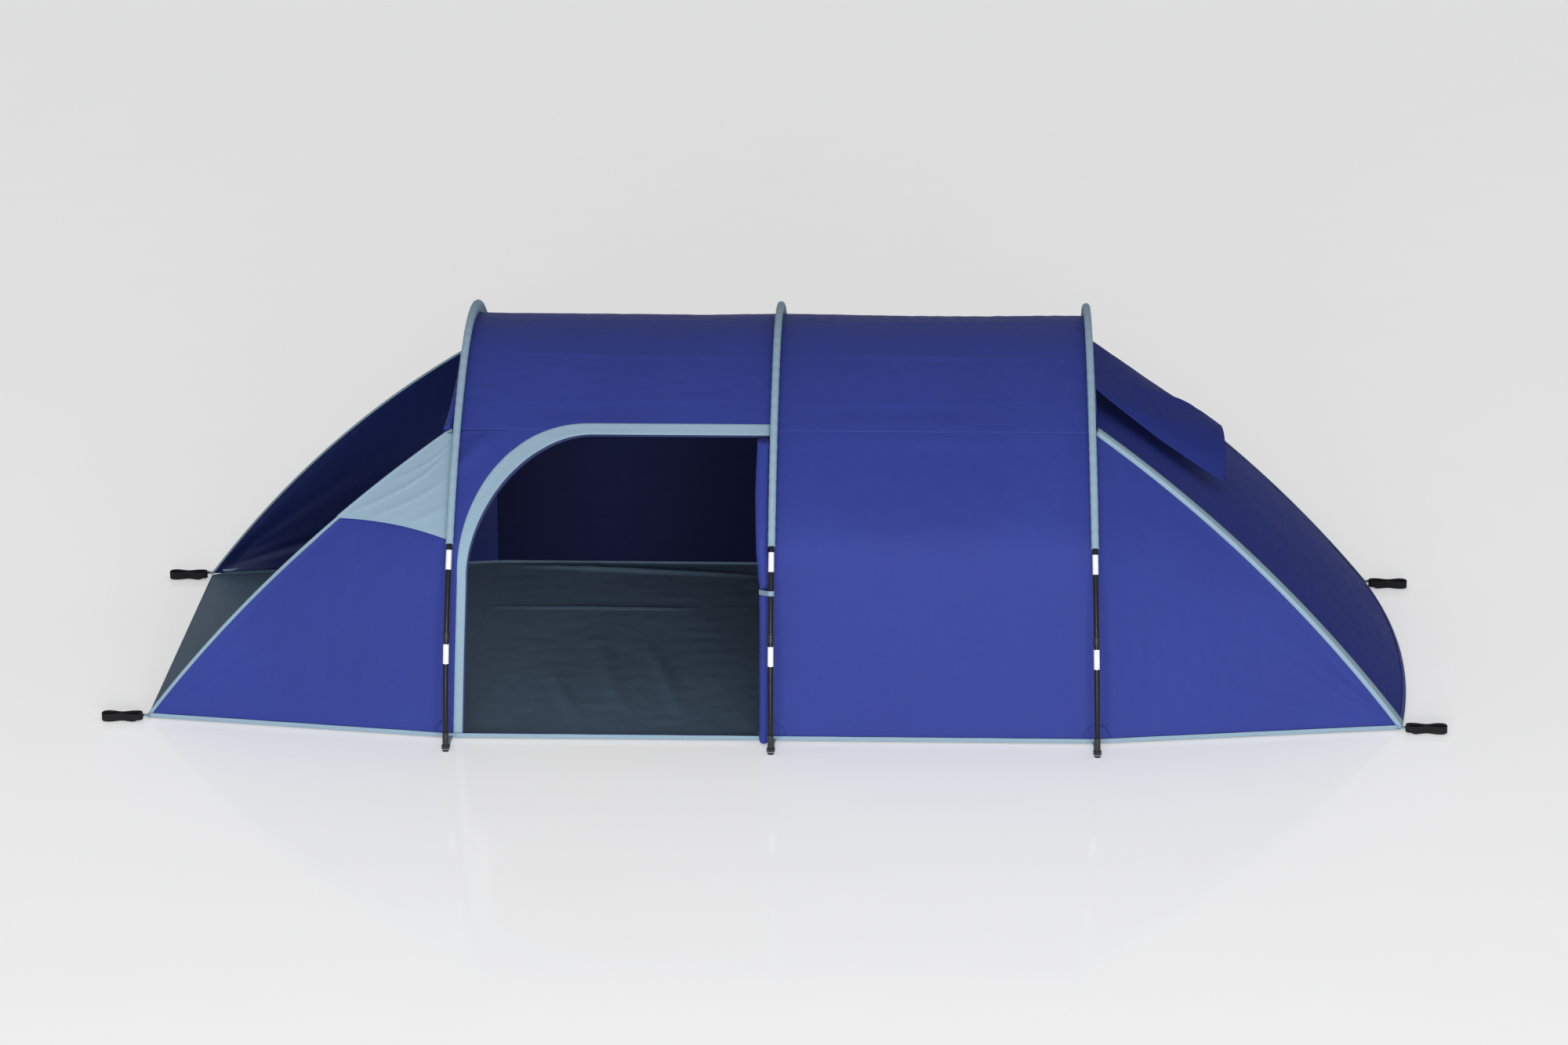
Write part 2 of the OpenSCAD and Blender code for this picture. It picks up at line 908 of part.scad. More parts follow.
module corner_loops() {
    color(trim_blue)
        for (dir = [-1, 1])
            for (side = [NEAR, FAR])
                translate([corner_at(dir)[0], side * corner_at(dir)[1], loop_z])
                    difference() {
                        union() {
                            translate([dir > 0 ? 1 : -loop_len + loop_w / 2, -loop_w / 2, 0])
                                cube([loop_len - loop_w / 2 - 1, loop_w, loop_t]);
                            translate([dir * (loop_len - loop_w / 2), 0, 0])
                                cylinder(d = loop_w, h = loop_t);
                        }
                        translate([dir * (loop_len - loop_w / 2), 0, -1])
                            cylinder(d = loop_hole, h = loop_t + 2);
                    }
}

// Guy ropes, folded into hanks that lie on the ground outward from the corners
hank_near_y = [664, 670];
hank_far_y = [610, 616];
hank_gap = 2;

module hank(dir, y) {
    start = corner_at(dir)[0] + dir * (loop_len + hank_gap);
    color(black)
        translate([start + dir * hank_len / 2, y, 0])
            linear_extrude(hank_h)
                stadium(hank_w, hank_len);
}

pole(0);  // front_pole
pole(1);  // middle_pole
pole(2);  // rear_pole
ferrules(0);  // front_ferrules
ferrules(1);  // middle_ferrules
ferrules(2);  // rear_ferrules
collars(0);  // front_collars
collars(1);  // middle_collars
collars(2);  // rear_collars
foot_caps(0);  // front_foot_caps
foot_caps(1);  // middle_foot_caps
foot_caps(2);  // rear_foot_caps
shock_cords();
sleeve(0);  // front_sleeve
sleeve(1);  // middle_sleeve
sleeve(2);  // rear_sleeve
roof(0);  // front_bay_roof
roof(1);  // rear_bay_roof
door_wall();
wall(0, FAR);  // front_bay_far_wall
wall(1, NEAR);  // rear_bay_near_wall
wall(1, FAR);  // rear_bay_far_wall
door_trim();
rolled_side_door();
door_tie();
header_zip_slider();
sill_zip_slider();
wing(NEAR);  // near_wing
wing(FAR);  // far_wing
wing_piping(NEAR);  // near_wing_piping
wing_piping(FAR);  // far_wing_piping
wing_flap(NEAR);  // near_wing_flap
wing_flap(FAR);  // far_wing_flap
rolled_front_door();
front_door_ties();
rear_side(NEAR);  // near_rear_side
rear_side(FAR);  // far_rear_side
rear_end_panel();
rear_gable();
seam_band(NEAR);  // near_seam_band
seam_band(FAR);  // far_seam_band
vent_hood();
vent_stiffener();
vent_mesh();
main_floor();
porch_floor();
long_hem(NEAR);  // near_hem
long_hem(FAR);  // far_hem
rear_hem();
foot_patches();
foot_tabs();
corner_loops();
hank(-1, -hank_near_y[0]);  // front_near_hank
hank(-1, hank_far_y[0]);  // front_far_hank
hank(1, -hank_near_y[1]);  // rear_near_hank
hank(1, hank_far_y[1]);  // rear_far_hank
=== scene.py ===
import math

import bmesh
import bpy
import numpy as np
from mathutils import Matrix, Vector


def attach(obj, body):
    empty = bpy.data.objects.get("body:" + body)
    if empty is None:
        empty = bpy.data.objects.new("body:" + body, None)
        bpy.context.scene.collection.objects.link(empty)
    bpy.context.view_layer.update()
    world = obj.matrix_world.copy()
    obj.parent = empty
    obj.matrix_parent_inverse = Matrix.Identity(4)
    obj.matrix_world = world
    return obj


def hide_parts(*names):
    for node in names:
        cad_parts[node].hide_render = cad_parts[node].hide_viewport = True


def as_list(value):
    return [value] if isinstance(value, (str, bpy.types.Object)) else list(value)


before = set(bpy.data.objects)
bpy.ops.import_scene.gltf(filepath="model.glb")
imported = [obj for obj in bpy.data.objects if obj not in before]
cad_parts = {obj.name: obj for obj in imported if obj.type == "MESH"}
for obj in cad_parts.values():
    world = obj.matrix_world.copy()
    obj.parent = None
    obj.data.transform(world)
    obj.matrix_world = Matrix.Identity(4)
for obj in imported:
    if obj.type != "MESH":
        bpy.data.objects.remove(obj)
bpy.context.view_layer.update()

# ------------ sizes: x runs along the tent, the near side is -y
NEAR, FAR = -1, 1
SIDES = ((NEAR, "near"), (FAR, "far"))
HOOP_NAMES = ("front", "middle", "rear")
R_CROWN, H_TOP, FOOT, CROWN = 0.555, 1.143, 0.887, math.radians(27.0)
STAND, SLEEVE_END, HEM_HALF, HEM_Z, SEAM_Z = 0.028, 0.621, 0.788, 0.006, 0.905
MID_X, SPACING, LEAN = -0.011, 1.0, math.tan(math.radians(1.3))
HOOPS = (MID_X - SPACING, MID_X, MID_X + SPACING)
TILT = (LEAN, 0.0, -LEAN)
FRONT_REACH, FRONT_HALF, REAR_REACH, REAR_HALF = 1.964, 0.644, 1.948, 0.650
FRONT_X, REAR_X = MID_X - FRONT_REACH, MID_X + REAR_REACH
BULGE_REAR_HEM, BULGE_WING, BOW_WING, BULGE_SEAM = 0.058, 0.058, 0.045, 0.050
THICK = 0.0012

# ------------ the camera
LENS, CAMERA_AT = 100.8, (0.500, -13.316, 5.197)
PITCH, YAW, ROLL = (math.radians(a) for a in (19.66, -2.15, -0.29))


def make_camera():
    cam = bpy.data.cameras.new("camera")
    cam.lens, cam.sensor_width, cam.sensor_fit = LENS, 36.0, "HORIZONTAL"
    cam.clip_end = 200.0
    obj = bpy.data.objects.new("camera", cam)
    bpy.context.scene.collection.objects.link(obj)
    look = Vector((math.sin(YAW) * math.cos(PITCH), math.cos(YAW) * math.cos(PITCH), -math.sin(PITCH)))
    level = Vector((math.cos(YAW), -math.sin(YAW), 0.0))
    above = level.cross(look)
    right = math.cos(ROLL) * level + math.sin(ROLL) * above
    up = -math.sin(ROLL) * level + math.cos(ROLL) * above
    turn = Matrix((right, up, -look)).transposed()
    obj.matrix_world = Matrix.Translation(CAMERA_AT) @ turn.to_4x4()
    bpy.context.scene.camera = obj


make_camera()


# ------------ materials
def nodes_of(name):
    mat = bpy.data.materials.new(name)
    mat.use_nodes = True
    tree = mat.node_tree
    return mat, tree, tree.nodes["Principled BSDF"]


def node(tree, kind, inputs=(), **props):
    n = tree.nodes.new(kind)
    for key, value in props.items():
        setattr(n, key, value)
    for key, value in dict(inputs).items():
        if isinstance(value, bpy.types.NodeSocket):
            tree.links.new(value, n.inputs[key])
        else:
            n.inputs[key].default_value = value
    return n


def ramp(tree, fac, stops):
    n = node(tree, "ShaderNodeValToRGB", {"Fac": fac})
    els = n.color_ramp.elements
    while len(els) < len(stops):
        els.new(0.5)
    for el, (pos, col) in zip(els, stops):
        el.position, el.color = pos, (*col, 1.0)
    return n.outputs["Color"]


def math_node(tree, op, a, b=None):
    n = tree.nodes.new("ShaderNodeMath")
    n.operation = op
    for i, v in enumerate((a, b)):
        if v is None:
            continue
        if isinstance(v, bpy.types.NodeSocket):
            tree.links.new(v, n.inputs[i])
        else:
            n.inputs[i].default_value = v
    return n.outputs[0]


def scaled(col, k):
    return tuple(min(1.0, c * k) for c in col)


def times(tree, a, b):
    return math_node(tree, "MULTIPLY", a, b)


def noise(tree, place, scale, detail, rough=0.5):
    inputs = {"Vector": place.outputs["Object"], "Scale": scale, "Detail": detail, "Roughness": rough}
    return node(tree, "ShaderNodeTexNoise", inputs).outputs["Fac"]


def bump(tree, height, strength, distance, under=None):
    """A bump's normal, laid over the one under it."""
    inputs = {"Height": height, "Strength": strength, "Distance": distance}
    if under is not None:
        inputs["Normal"] = under
    return node(tree, "ShaderNodeBump", inputs).outputs["Normal"]


def threads(tree, where, weave):
    """Warp and weft, one thread each per weave."""
    inputs = {"Vector": where.outputs["Vector"], "Scale": 0.32 / weave, "Distortion": 0.4, "Detail": 1.0}
    warp, weft = (node(tree, "ShaderNodeTexWave", inputs, bands_direction=way).outputs["Fac"] for way in "XY")
    return times(tree, warp, weft)


def stitches(tree, where, inset):
    """A dashed line that runs round a panel at a small distance from its edge."""
    parts = node(tree, "ShaderNodeSeparateXYZ", {"Vector": where.outputs["Vector"]})
    off = math_node(tree, "ABSOLUTE", math_node(tree, "SUBTRACT", parts.outputs["Z"], inset))
    line = math_node(tree, "LESS_THAN", off, 0.0005)
    run = math_node(tree, "ADD", parts.outputs["X"], parts.outputs["Y"])
    dash = math_node(tree, "GREATER_THAN", math_node(tree, "SINE", times(tree, run, 1800.0)), -0.4)
    return times(tree, line, dash)


def cloth_material(name, col, rough=0.55, weave=0.0009, weave_depth=0.35, crinkle=1.0, sheen=0.01, tint=0.10,
                   shine=0.09):
    """Woven coated cloth: threads both ways, sewn edges, soft crinkles, faint patchy colour."""
    mat, tree, bsdf = nodes_of(name)
    where = node(tree, "ShaderNodeAttribute", attribute_name="cloth")
    place = node(tree, "ShaderNodeTexCoord")
    soft, fine, patch = (noise(tree, place, *v) for v in ((9.0, 5.0, 0.55), (60.0, 4.0, 0.6), (2.2, 3.0)))
    mix = math_node(tree, "ADD", times(tree, patch, 0.6), times(tree, fine, 0.4))
    colour = ramp(tree, mix, [(0.3, scaled(col, 1 - tint)), (0.7, scaled(col, 1 + tint))])
    sewn = stitches(tree, where, 0.0045)
    thread = node(tree, "ShaderNodeMixRGB", {"Fac": times(tree, sewn, 0.6), "Color1": colour,
                                             "Color2": (*scaled(col, 0.45), 1.0)})
    tree.links.new(thread.outputs["Color"], bsdf.inputs["Base Color"])
    tree.links.new(ramp(tree, fine, [(0.3, (rough - 0.06,) * 3), (0.7, (rough + 0.08,) * 3)]),
                   bsdf.inputs["Roughness"])
    raised = math_node(tree, "ADD", threads(tree, where, weave), times(tree, sewn, 2.0))
    normal = bump(tree, soft, 0.35 * crinkle, 0.006)
    normal = bump(tree, fine, 0.25 * crinkle, 0.0012, normal)
    tree.links.new(bump(tree, raised, weave_depth, 0.0003, normal), bsdf.inputs["Normal"])
    bsdf.inputs["Sheen Weight"].default_value = sheen
    bsdf.inputs["Sheen Roughness"].default_value = 0.4
    bsdf.inputs["Specular IOR Level"].default_value = shine
    return mat


def hard_material(name, col, rough, metal=0.0, coat=0.0, grain=250.0, depth=0.2, vary=0.12, shine=0.5):
    """Plastic, lacquer or metal: fine grain, and wear that changes the gloss."""
    mat, tree, bsdf = nodes_of(name)
    place = node(tree, "ShaderNodeTexCoord")
    worn = noise(tree, place, 14.0, 5.0, 0.65)
    tree.links.new(ramp(tree, worn, [(0.3, scaled(col, 1 - vary)), (0.75, scaled(col, 1 + vary))]),
                   bsdf.inputs["Base Color"])
    tree.links.new(ramp(tree, worn, [(0.35, (max(rough - 0.07, 0.05),) * 3), (0.7, (rough + 0.08,) * 3)]),
                   bsdf.inputs["Roughness"])
    tree.links.new(bump(tree, noise(tree, place, grain, 4.0), depth, 0.0004), bsdf.inputs["Normal"])
    bsdf.inputs["Metallic"].default_value = metal
    bsdf.inputs["Coat Weight"].default_value = coat
    bsdf.inputs["Specular IOR Level"].default_value = shine
    return mat


BLUE = cloth_material("blue_cloth", (0.0275, 0.0430, 0.228), tint=0.06)
# End panel and hood: the blue cloth with painted shade darkening its colour, and with less shine.
BLUE_REAR_SHADED = cloth_material("blue_cloth_rear_painted_shade", (0.0225, 0.0355, 0.205), sheen=0.0, tint=0.06, shine=0.02)
# Inside faces: the same blue cloth with painted shade darkening its colour, strongly for the tent's inside
# and less for the porch wings.
BLUE_INSIDE_SHADED = cloth_material("blue_cloth_lining", (0.0050, 0.0072, 0.032), rough=0.75, tint=0.06)
WING_INSIDE_SHADED = cloth_material("blue_wing_lining", (0.0115, 0.0185, 0.098), rough=0.42, tint=0.06, shine=0.26)
LIGHT = cloth_material("light_cloth", (0.245, 0.352, 0.440), rough=0.6, crinkle=0.6, tint=0.05)
WEB = cloth_material("light_webbing", (0.240, 0.345, 0.430), rough=0.7, weave=0.0016, weave_depth=0.8,
                     crinkle=0.3)
FLOOR_CLOTH = cloth_material("floor_sheet", (0.092, 0.140, 0.200), rough=0.45, weave=0.0022, weave_depth=0.7)
MESH_CLOTH = cloth_material("vent_mesh", (0.012, 0.012, 0.018), rough=0.8, weave=0.0018, weave_depth=1.0)
CORD_BLACK = cloth_material("black_cord", (0.018, 0.018, 0.020), rough=0.75, weave=0.0012, weave_depth=1.0)
ZIP_TAPE = cloth_material("zip_tape", (0.03, 0.04, 0.12), rough=0.6, weave=0.0016, weave_depth=1.0,
                          crinkle=0.2)
POLE = hard_material("pole_lacquer", (0.008, 0.008, 0.005), 0.42, coat=0.03, shine=0.22)
PLASTIC = hard_material("black_plastic", (0.012, 0.012, 0.012), 0.42, grain=500.0, depth=0.3)
SILVER = hard_material("ferrule_metal", (0.86, 0.86, 0.88), 0.32, metal=0.25, grain=400.0, vary=0.05)
ZIP_METAL = hard_material("zip_slider", (0.03, 0.03, 0.03), 0.35, metal=0.6)


# ------------ the arch
CROWN_COS, CROWN_SIN = math.cos(CROWN), math.sin(CROWN)
CROWN_Z = H_TOP - R_CROWN
JOIN_Y, JOIN_Z = R_CROWN * CROWN_SIN, CROWN_Z + R_CROWN * CROWN_COS
LEG_RUN = FOOT - JOIN_Y
R_LEG = (LEG_RUN ** 2 + JOIN_Z ** 2) / (2 * (JOIN_Z * CROWN_COS - LEG_RUN * CROWN_SIN))
LEG_Y, LEG_Z = JOIN_Y - R_LEG * CROWN_SIN, JOIN_Z - R_LEG * CROWN_COS


def arch_half(z, off):
    """Half width of the arch, moved outward by off, at height z."""
    z = np.asarray(z, float)
    join = CROWN_Z + (R_CROWN + off) * CROWN_COS
    a = np.arccos(np.clip((z - CROWN_Z) / (R_CROWN + off), -1, 1))
    b = np.arccos(np.clip((z - LEG_Z) / (R_LEG + off), -1, 1))
    return np.where(z > join, (R_CROWN + off) * np.sin(a), LEG_Y + (R_LEG + off) * np.sin(b))


def wall_half(z):
    """Half width of the cloth tunnel: inside the arch, and straight below the sleeves."""
    z = np.asarray(z, float)
    top = arch_half(SLEEVE_END, -STAND)
    low = HEM_HALF + (top - HEM_HALF) * z / SLEEVE_END
    return np.where(z >= SLEEVE_END, arch_half(z, -STAND), low)


def hoop_x(i, z):
    return HOOPS[i] + TILT[i] * np.asarray(z, float)


class Girth:
    """The cloth's outline round the tunnel, by length from the near hem to the far hem."""

    def __init__(self, smooth=0.045):
        z = np.linspace(HEM_Z, CROWN_Z + (R_CROWN - STAND) * CROWN_COS, 900)
        y = -wall_half(z)
        a = np.linspace(CROWN, 0, 400)[1:]
        y = np.concatenate([y, -(R_CROWN - STAND) * np.sin(a)])
        z = np.concatenate([z, CROWN_Z + (R_CROWN - STAND) * np.cos(a)])
        y, z = np.concatenate([y, -y[-2::-1]]), np.concatenate([z, z[-2::-1]])
        s = np.concatenate([[0], np.cumsum(np.hypot(np.diff(y), np.diff(z)))])
        self.s = np.linspace(0, s[-1], 2401)
        y, z = np.interp(self.s, s, y), np.interp(self.s, s, z)
        step = self.s[1]
        k = int(3 * smooth / step)
        w = np.exp(-0.5 * (np.arange(-k, k + 1) * step / smooth) ** 2)
        w /= w.sum()
        pad = lambda v: np.concatenate([2 * v[0] - v[k:0:-1], v, 2 * v[-1] - v[-2:-k - 2:-1]])
        self.y = np.convolve(pad(y), w, "valid")
        self.z = np.convolve(pad(z), w, "valid")
        ty, tz = np.gradient(self.y), np.gradient(self.z)
        n = np.hypot(ty, tz)
        self.ny, self.nz = -tz / n, ty / n
        self.length = self.s[-1]

    def at(self, s):
        f = lambda v: np.interp(s, self.s, v)
        return f(self.y), f(self.z), f(self.ny), f(self.nz)

    def s_of_z(self, z, side=NEAR):
        half = len(self.s) // 2
        s = np.interp(z, self.z[: half + 1], self.s[: half + 1])
        return s if side == NEAR else self.length - s


GIRTH = Girth()
S_SEAM = float(GIRTH.s_of_z(SEAM_Z))


# ------------ mesh building
def link(obj):
    bpy.context.scene.collection.objects.link(obj)
    return obj


def mesh_object(name, verts, faces, mat, coords=None, smooth=True):
    mesh = bpy.data.meshes.new(name)
    points = [tuple(v) for v in np.asarray(verts, float)]
    mesh.from_pydata(points, [], [tuple(int(i) for i in f) for f in faces])
    mesh.update()
    if coords is not None:
        att = mesh.attributes.new("cloth", "FLOAT_VECTOR", "POINT")
        att.data.foreach_set("vector", np.asarray(coords, np.float32).ravel())
    mesh.polygons.foreach_set("use_smooth", np.full(len(mesh.polygons), smooth))
    mesh.materials.append(mat)
    return link(bpy.data.objects.new(name, mesh))


def grid(u0, u1, nu, v0, v1, nv):
    """Two [nu, nv] arrays: u changes down the rows and v along the columns."""
    return np.meshgrid(np.linspace(u0, u1, nu), np.linspace(v0, v1, nv), indexing="ij")


def grid_faces(n, m, wrap=False, flip=False):
    r, c = np.meshgrid(np.arange(n - 1), np.arange(m if wrap else m - 1), indexing="ij")
    c2 = (c + 1) % m
    quad = np.stack([r * m + c, r * m + c2, (r + 1) * m + c2, (r + 1) * m + c], -1).reshape(-1, 4)
    return quad[:, ::-1] if flip else quad


CLOTHS = {}


def cut_size(pts):
    """Flat size and area of the cloth that makes a grid of points."""
    du = np.linalg.norm(np.diff(pts, axis=0), axis=2).sum(0)
    dv = np.linalg.norm(np.diff(pts, axis=1), axis=2).sum(1)
    a, b = pts[1:, 1:] - pts[:-1, :-1], pts[1:, :-1] - pts[:-1, 1:]
    area = float(np.linalg.norm(np.cross(a, b), axis=2).sum() / 2)
    w, l = sorted((float(du.max()), float(dv.max())))
    if area < 0.45 * w * l:
        w = area / l
    return (max(w, 0.0101), max(l, 0.0101)), area


def sheet_object(name, pts, mat, away, thick=THICK, offset=-1.0, lining=None):
    """A cloth panel from a grid of points. Its outer face looks away from the point given."""
    pts = np.asarray(pts, float)
    CLOTHS[name] = cut_size(pts)
    n, m = pts.shape[:2]
    i, j = n // 2, m // 2
    normal = np.cross(pts[min(i + 1, n - 1), j] - pts[i - 1, j], pts[i, min(j + 1, m - 1)] - pts[i, j - 1])
    flip = np.dot(normal, pts[i, j] - np.asarray(away, float)) > 0
    du = np.linalg.norm(np.diff(pts, axis=0), axis=2)
    dv = np.linalg.norm(np.diff(pts, axis=1), axis=2)
    u = np.vstack([np.zeros((1, m)), np.cumsum(du, 0)])
    v = np.hstack([np.zeros((n, 1)), np.cumsum(dv, 1)])
    edge = np.minimum(np.minimum(u, u[-1:] - u), np.minimum(v, v[:, -1:] - v))
    coords = np.stack([u, v, edge], -1).reshape(-1, 3)
    obj = mesh_object(name, pts.reshape(-1, 3), grid_faces(n, m, flip=not flip), mat, coords)
    mod = obj.modifiers.new("thickness", "SOLIDIFY")
    mod.thickness, mod.offset, mod.use_even_offset = thick, offset, False
    # The inner face takes a darker copy of the cloth: painted shade.
    if lining:
        obj.data.materials[0] = lining
        obj.data.materials.append(mat)
        mod.material_offset = 1
    return obj


def tube_object(name, line, sections, mat, up):
    """Sweeps closed sections, one per point, along a line, with flat ends."""
    tangent = np.gradient(line, axis=0)
    tangent /= np.linalg.norm(tangent, axis=1)[:, None]
    side = np.cross(tangent, np.asarray(up, float))
    side /= np.linalg.norm(side, axis=1)[:, None]
    top = np.cross(side, tangent)
    verts = line[:, None] + sections[:, :, :1] * side[:, None] + sections[:, :, 1:] * top[:, None]
    k, m = sections.shape[:2]
    faces = [tuple(f) for f in grid_faces(k, m, wrap=True)]
    faces += [tuple(range(m))[::-1], tuple((k - 1) * m + i for i in range(m))]
    obj = mesh_object(name, verts.reshape(-1, 3), faces, mat)
    bm = bmesh.new()
    bm.from_mesh(obj.data)
    bmesh.ops.recalc_face_normals(bm, faces=bm.faces)
    bm.to_mesh(obj.data)
    bm.free()
    return obj


def put(obj, body="tent", replaces=()):
    """Says which body a piece rides on, which CAD nodes it stands for."""
    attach(obj, body)
    if replaces:
        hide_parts(*([replaces] if isinstance(replaces, str) else replaces))
    return obj


def panel(name, pts, mat, replaces=(), body="tent", **how):
    """A cloth sheet, put in its place."""
    return put(sheet_object(name, pts, mat, **how), body, replaces)


# ------------ folds and wrinkles
def waves(x, y, seed, count, low, high, angle=0.0, spread=math.pi):
    """Gentle cloth unevenness, about 1 at most, the same on every run."""
    rng = np.random.default_rng(seed)
    out = np.zeros(np.broadcast(x, y).shape)
    for _ in range(count):
        wl = low * (high / low) ** rng.random()
        th = angle + spread * (rng.random() - 0.5)
        ph, ph2 = rng.random(2) * 2 * math.pi
        run = x * math.cos(th) + y * math.sin(th)
        across = -x * math.sin(th) + y * math.cos(th)
        bend = 1.2 * np.sin(2 * math.pi * across / (2.3 * wl) + ph2)
        out = out + np.sin(2 * math.pi * run / wl + ph + bend) * wl / high
    return out / math.sqrt(count)


def crease(x, y, a, b, width, height):
    """A fold along the line from a to b that dies away at its ends."""
    ax, ay = a
    dx, dy = b[0] - ax, b[1] - ay
    length = math.hypot(dx, dy)
    t = ((x - ax) * dx + (y - ay) * dy) / length ** 2
    d = np.abs((x - ax) * -dy + (y - ay) * dx) / length
    env = np.clip(np.sin(np.pi * np.clip(t, 0, 1)), 0, 1) ** 0.6
    return height * env * np.exp(-((d / width) ** 2))


def fan(x, y, cx, cy, seed, count, reach, height, a0, a1):
    """Tension folds that spread from a point."""
    rng = np.random.default_rng(seed)
    r = np.hypot(x - cx, y - cy)
    th = np.arctan2(y - cy, x - cx)
    out = np.zeros_like(r)
    for k in range(count):
        a = a0 + (a1 - a0) * (k + 0.3 + 0.4 * rng.random()) / count
        h = height * (0.5 + 0.7 * rng.random())
        far = reach * (0.6 + 0.5 * rng.random())
        env = np.clip(r / 0.05, 0, 1) * np.clip(1 - r / far, 0, 1) ** 1.5
        d = np.abs((th - a + np.pi) % (2 * np.pi) - np.pi)
        out += h * env * np.exp(-((d * r / (0.006 + 0.12 * r * 0.35)) ** 2))
    return out


# ------------ guy ropes
ROPE_D, TIE_D, TIE_TURNS = 0.005, 0.0028, 3.4
LOOP_OUT, HOLE_OUT, HOLE_Z = 0.022, 0.011, 0.0125
HANK_RUN, HANK_HALF_W, HANK_MID = 0.098, 0.0145, 0.053


def hank_line(layers=5):
    """Centreline of a hank round x, lying on z = 0, from its inner end; pinched at its tie."""
    pts = []
    r = HANK_HALF_W
    for k in range(layers):
        z0 = ROPE_D * (0.5 + k) + 0.0002
        for side in (-1, 1):
            x = np.linspace(-HANK_RUN / 2, HANK_RUN / 2, 13)[:-1] * (1 if side < 0 else -1)
            pinch = 1 - 0.80 * np.exp(-((x / 0.020) ** 2))
            z = z0 + (ROPE_D * (0.5 if side > 0 else 0.0)) * np.ones_like(x)
            pts += [(a, side * r * p, c) for a, p, c in zip(x, pinch, z)]
            end = HANK_RUN / 2 * (1 if side < 0 else -1)
            for a in np.linspace(0, math.pi, 9)[:-1]:
                lift = ROPE_D * 0.5 * a / math.pi
                height = z0 + (lift if side < 0 else ROPE_D * 0.5 + lift)
                pts.append((end + math.copysign(r * math.sin(a), end), side * r * math.cos(a), height))
    return np.array(pts)


def smooth_line(pts, passes=2):
    pts = np.asarray(pts, float)
    for _ in range(passes):
        pts[1:-1] = 0.25 * pts[:-2] + 0.5 * pts[1:-1] + 0.25 * pts[2:]
    return pts


def curve_object(name, pts, radius, mat):
    curve = bpy.data.curves.new(name, "CURVE")
    curve.dimensions, curve.bevel_depth, curve.bevel_resolution, curve.use_fill_caps = "3D", radius, 3, True
    spline = curve.splines.new("POLY")
    spline.points.add(len(pts) - 1)
    spline.points.foreach_set("co", np.hstack([pts, np.ones((len(pts), 1))]).ravel())
    curve.materials.append(mat)
    return link(bpy.data.objects.new(name, curve))


def guy_rope(node_name, dirn, y, corner_y):
    """One rope from its corner loop into its hank, and the tie round the hank's middle."""
    corner_x = FRONT_X if dirn < 0 else REAR_X
    mid = np.array([corner_x + dirn * LOOP_OUT + dirn * HANK_MID, y, 0.0])
    body = hank_line()
    body[:, 0] *= dirn
    hole = np.array([corner_x + dirn * HOLE_OUT, corner_y, HOLE_Z])
    lead = np.array([hole, hole + (dirn * 0.007, (y - corner_y) * 0.15, 0.0012),
                     hole + (dirn * 0.014, (y - corner_y) * 0.4, -0.003)])
    line = smooth_line(np.vstack([lead, body + mid]))
    rope = curve_object(node_name + "_rope", line, ROPE_D / 2, CORD_BLACK)
    a = np.linspace(0, 2 * math.pi * TIE_TURNS, 90)
    ring = np.stack([mid[0] - dirn * 0.005 + 0.0042 * a / (2 * math.pi) * dirn - dirn * 0.003,
                     mid[1] + 0.0078 * np.cos(a) * (1 + 0.05 * np.sin(5 * a)),
                     np.maximum(0.0145 + 0.0138 * np.sin(a), 0.0016)], -1)
    tie = curve_object(node_name + "_rope_tie", ring, TIE_D / 2, CORD_BLACK)
    put(rope, replaces=node_name)
    put(tie)


guy_rope("front_near_hank", -1, -0.664, -FRONT_HALF)
guy_rope("front_far_hank", -1, 0.610, FRONT_HALF)
guy_rope("rear_near_hank", 1, -0.670, -REAR_HALF)
guy_rope("rear_far_hank", 1, 0.616, REAR_HALF)


# ------------ bays
def calm(z):
    """Falls to zero along the door's taut header and the seam above it."""
    return 1 - np.exp(-(((z - 0.900) / 0.035) ** 4))


def bay_sag(u, s):
    """How far the cloth sinks between two hoops."""
    z = GIRTH.at(s)[1]
    grow = np.clip((z - 0.02) / 0.55, 0, 1)
    dip = np.clip(4 * u * (1 - u), 0, 1) ** 1.6 * calm(z)
    return (0.002 + 0.002 * grow * grow) * dip * np.clip((z - 0.006) / 0.05, 0, 1)


def bay_point(i, u, s, lift=0.0, wrinkle=None):
    """Point of the bay's outer face: u from hoop i to the next, s round the girth."""
    y, z, ny, nz = GIRTH.at(s)
    x = hoop_x(i, z) * (1 - u) + hoop_x(i + 1, z) * u
    d = lift - bay_sag(u, s)
    if wrinkle is not None:
        d = d + wrinkle(x, s)
    return np.stack([x, y + ny * d, z + nz * d], -1)


def bay_wrinkles(i, seed):
    def f(x, s):
        u = np.clip((x - HOOPS[i]) / SPACING, 0, 1)
        near_end = np.clip(np.minimum(u, 1 - u) / 0.08, 0, 1)
        t = s / GIRTH.length
        mid = np.clip(np.minimum(t, 1 - t) / 0.02, 0, 1)
        w = 0.0016 * waves(x, s, seed, 9, 0.10, 0.55, angle=0.3, spread=2.6)
        w += 0.0007 * waves(x, s, seed + 1, 7, 0.03, 0.10)
        pucker = np.sin(s * 2 * math.pi / 0.045 + 2 * np.sin(s * 9)) * np.exp(-np.minimum(u, 1 - u) / 0.022)
        w = (w + roof_folds(x, s, i)) * (calm(GIRTH.at(s)[1]) if i == 0 else 1.0)
        return (w * near_end + 0.0007 * pucker) * mid
    return f


ROOF_FOLDS = ((0.36, 0.0016, 0.02), (0.43, 0.0022, -0.015), (0.50, 0.0018, 0.01), (0.58, 0.0016, -0.02))
SHOULDER_FOLDS = ((0.838, 0.872, -0.995, -0.850, 0.0045), (0.862, 0.886, -0.990, -0.870, 0.0035),
                  (0.800, 0.845, -0.998, -0.920, 0.0030))


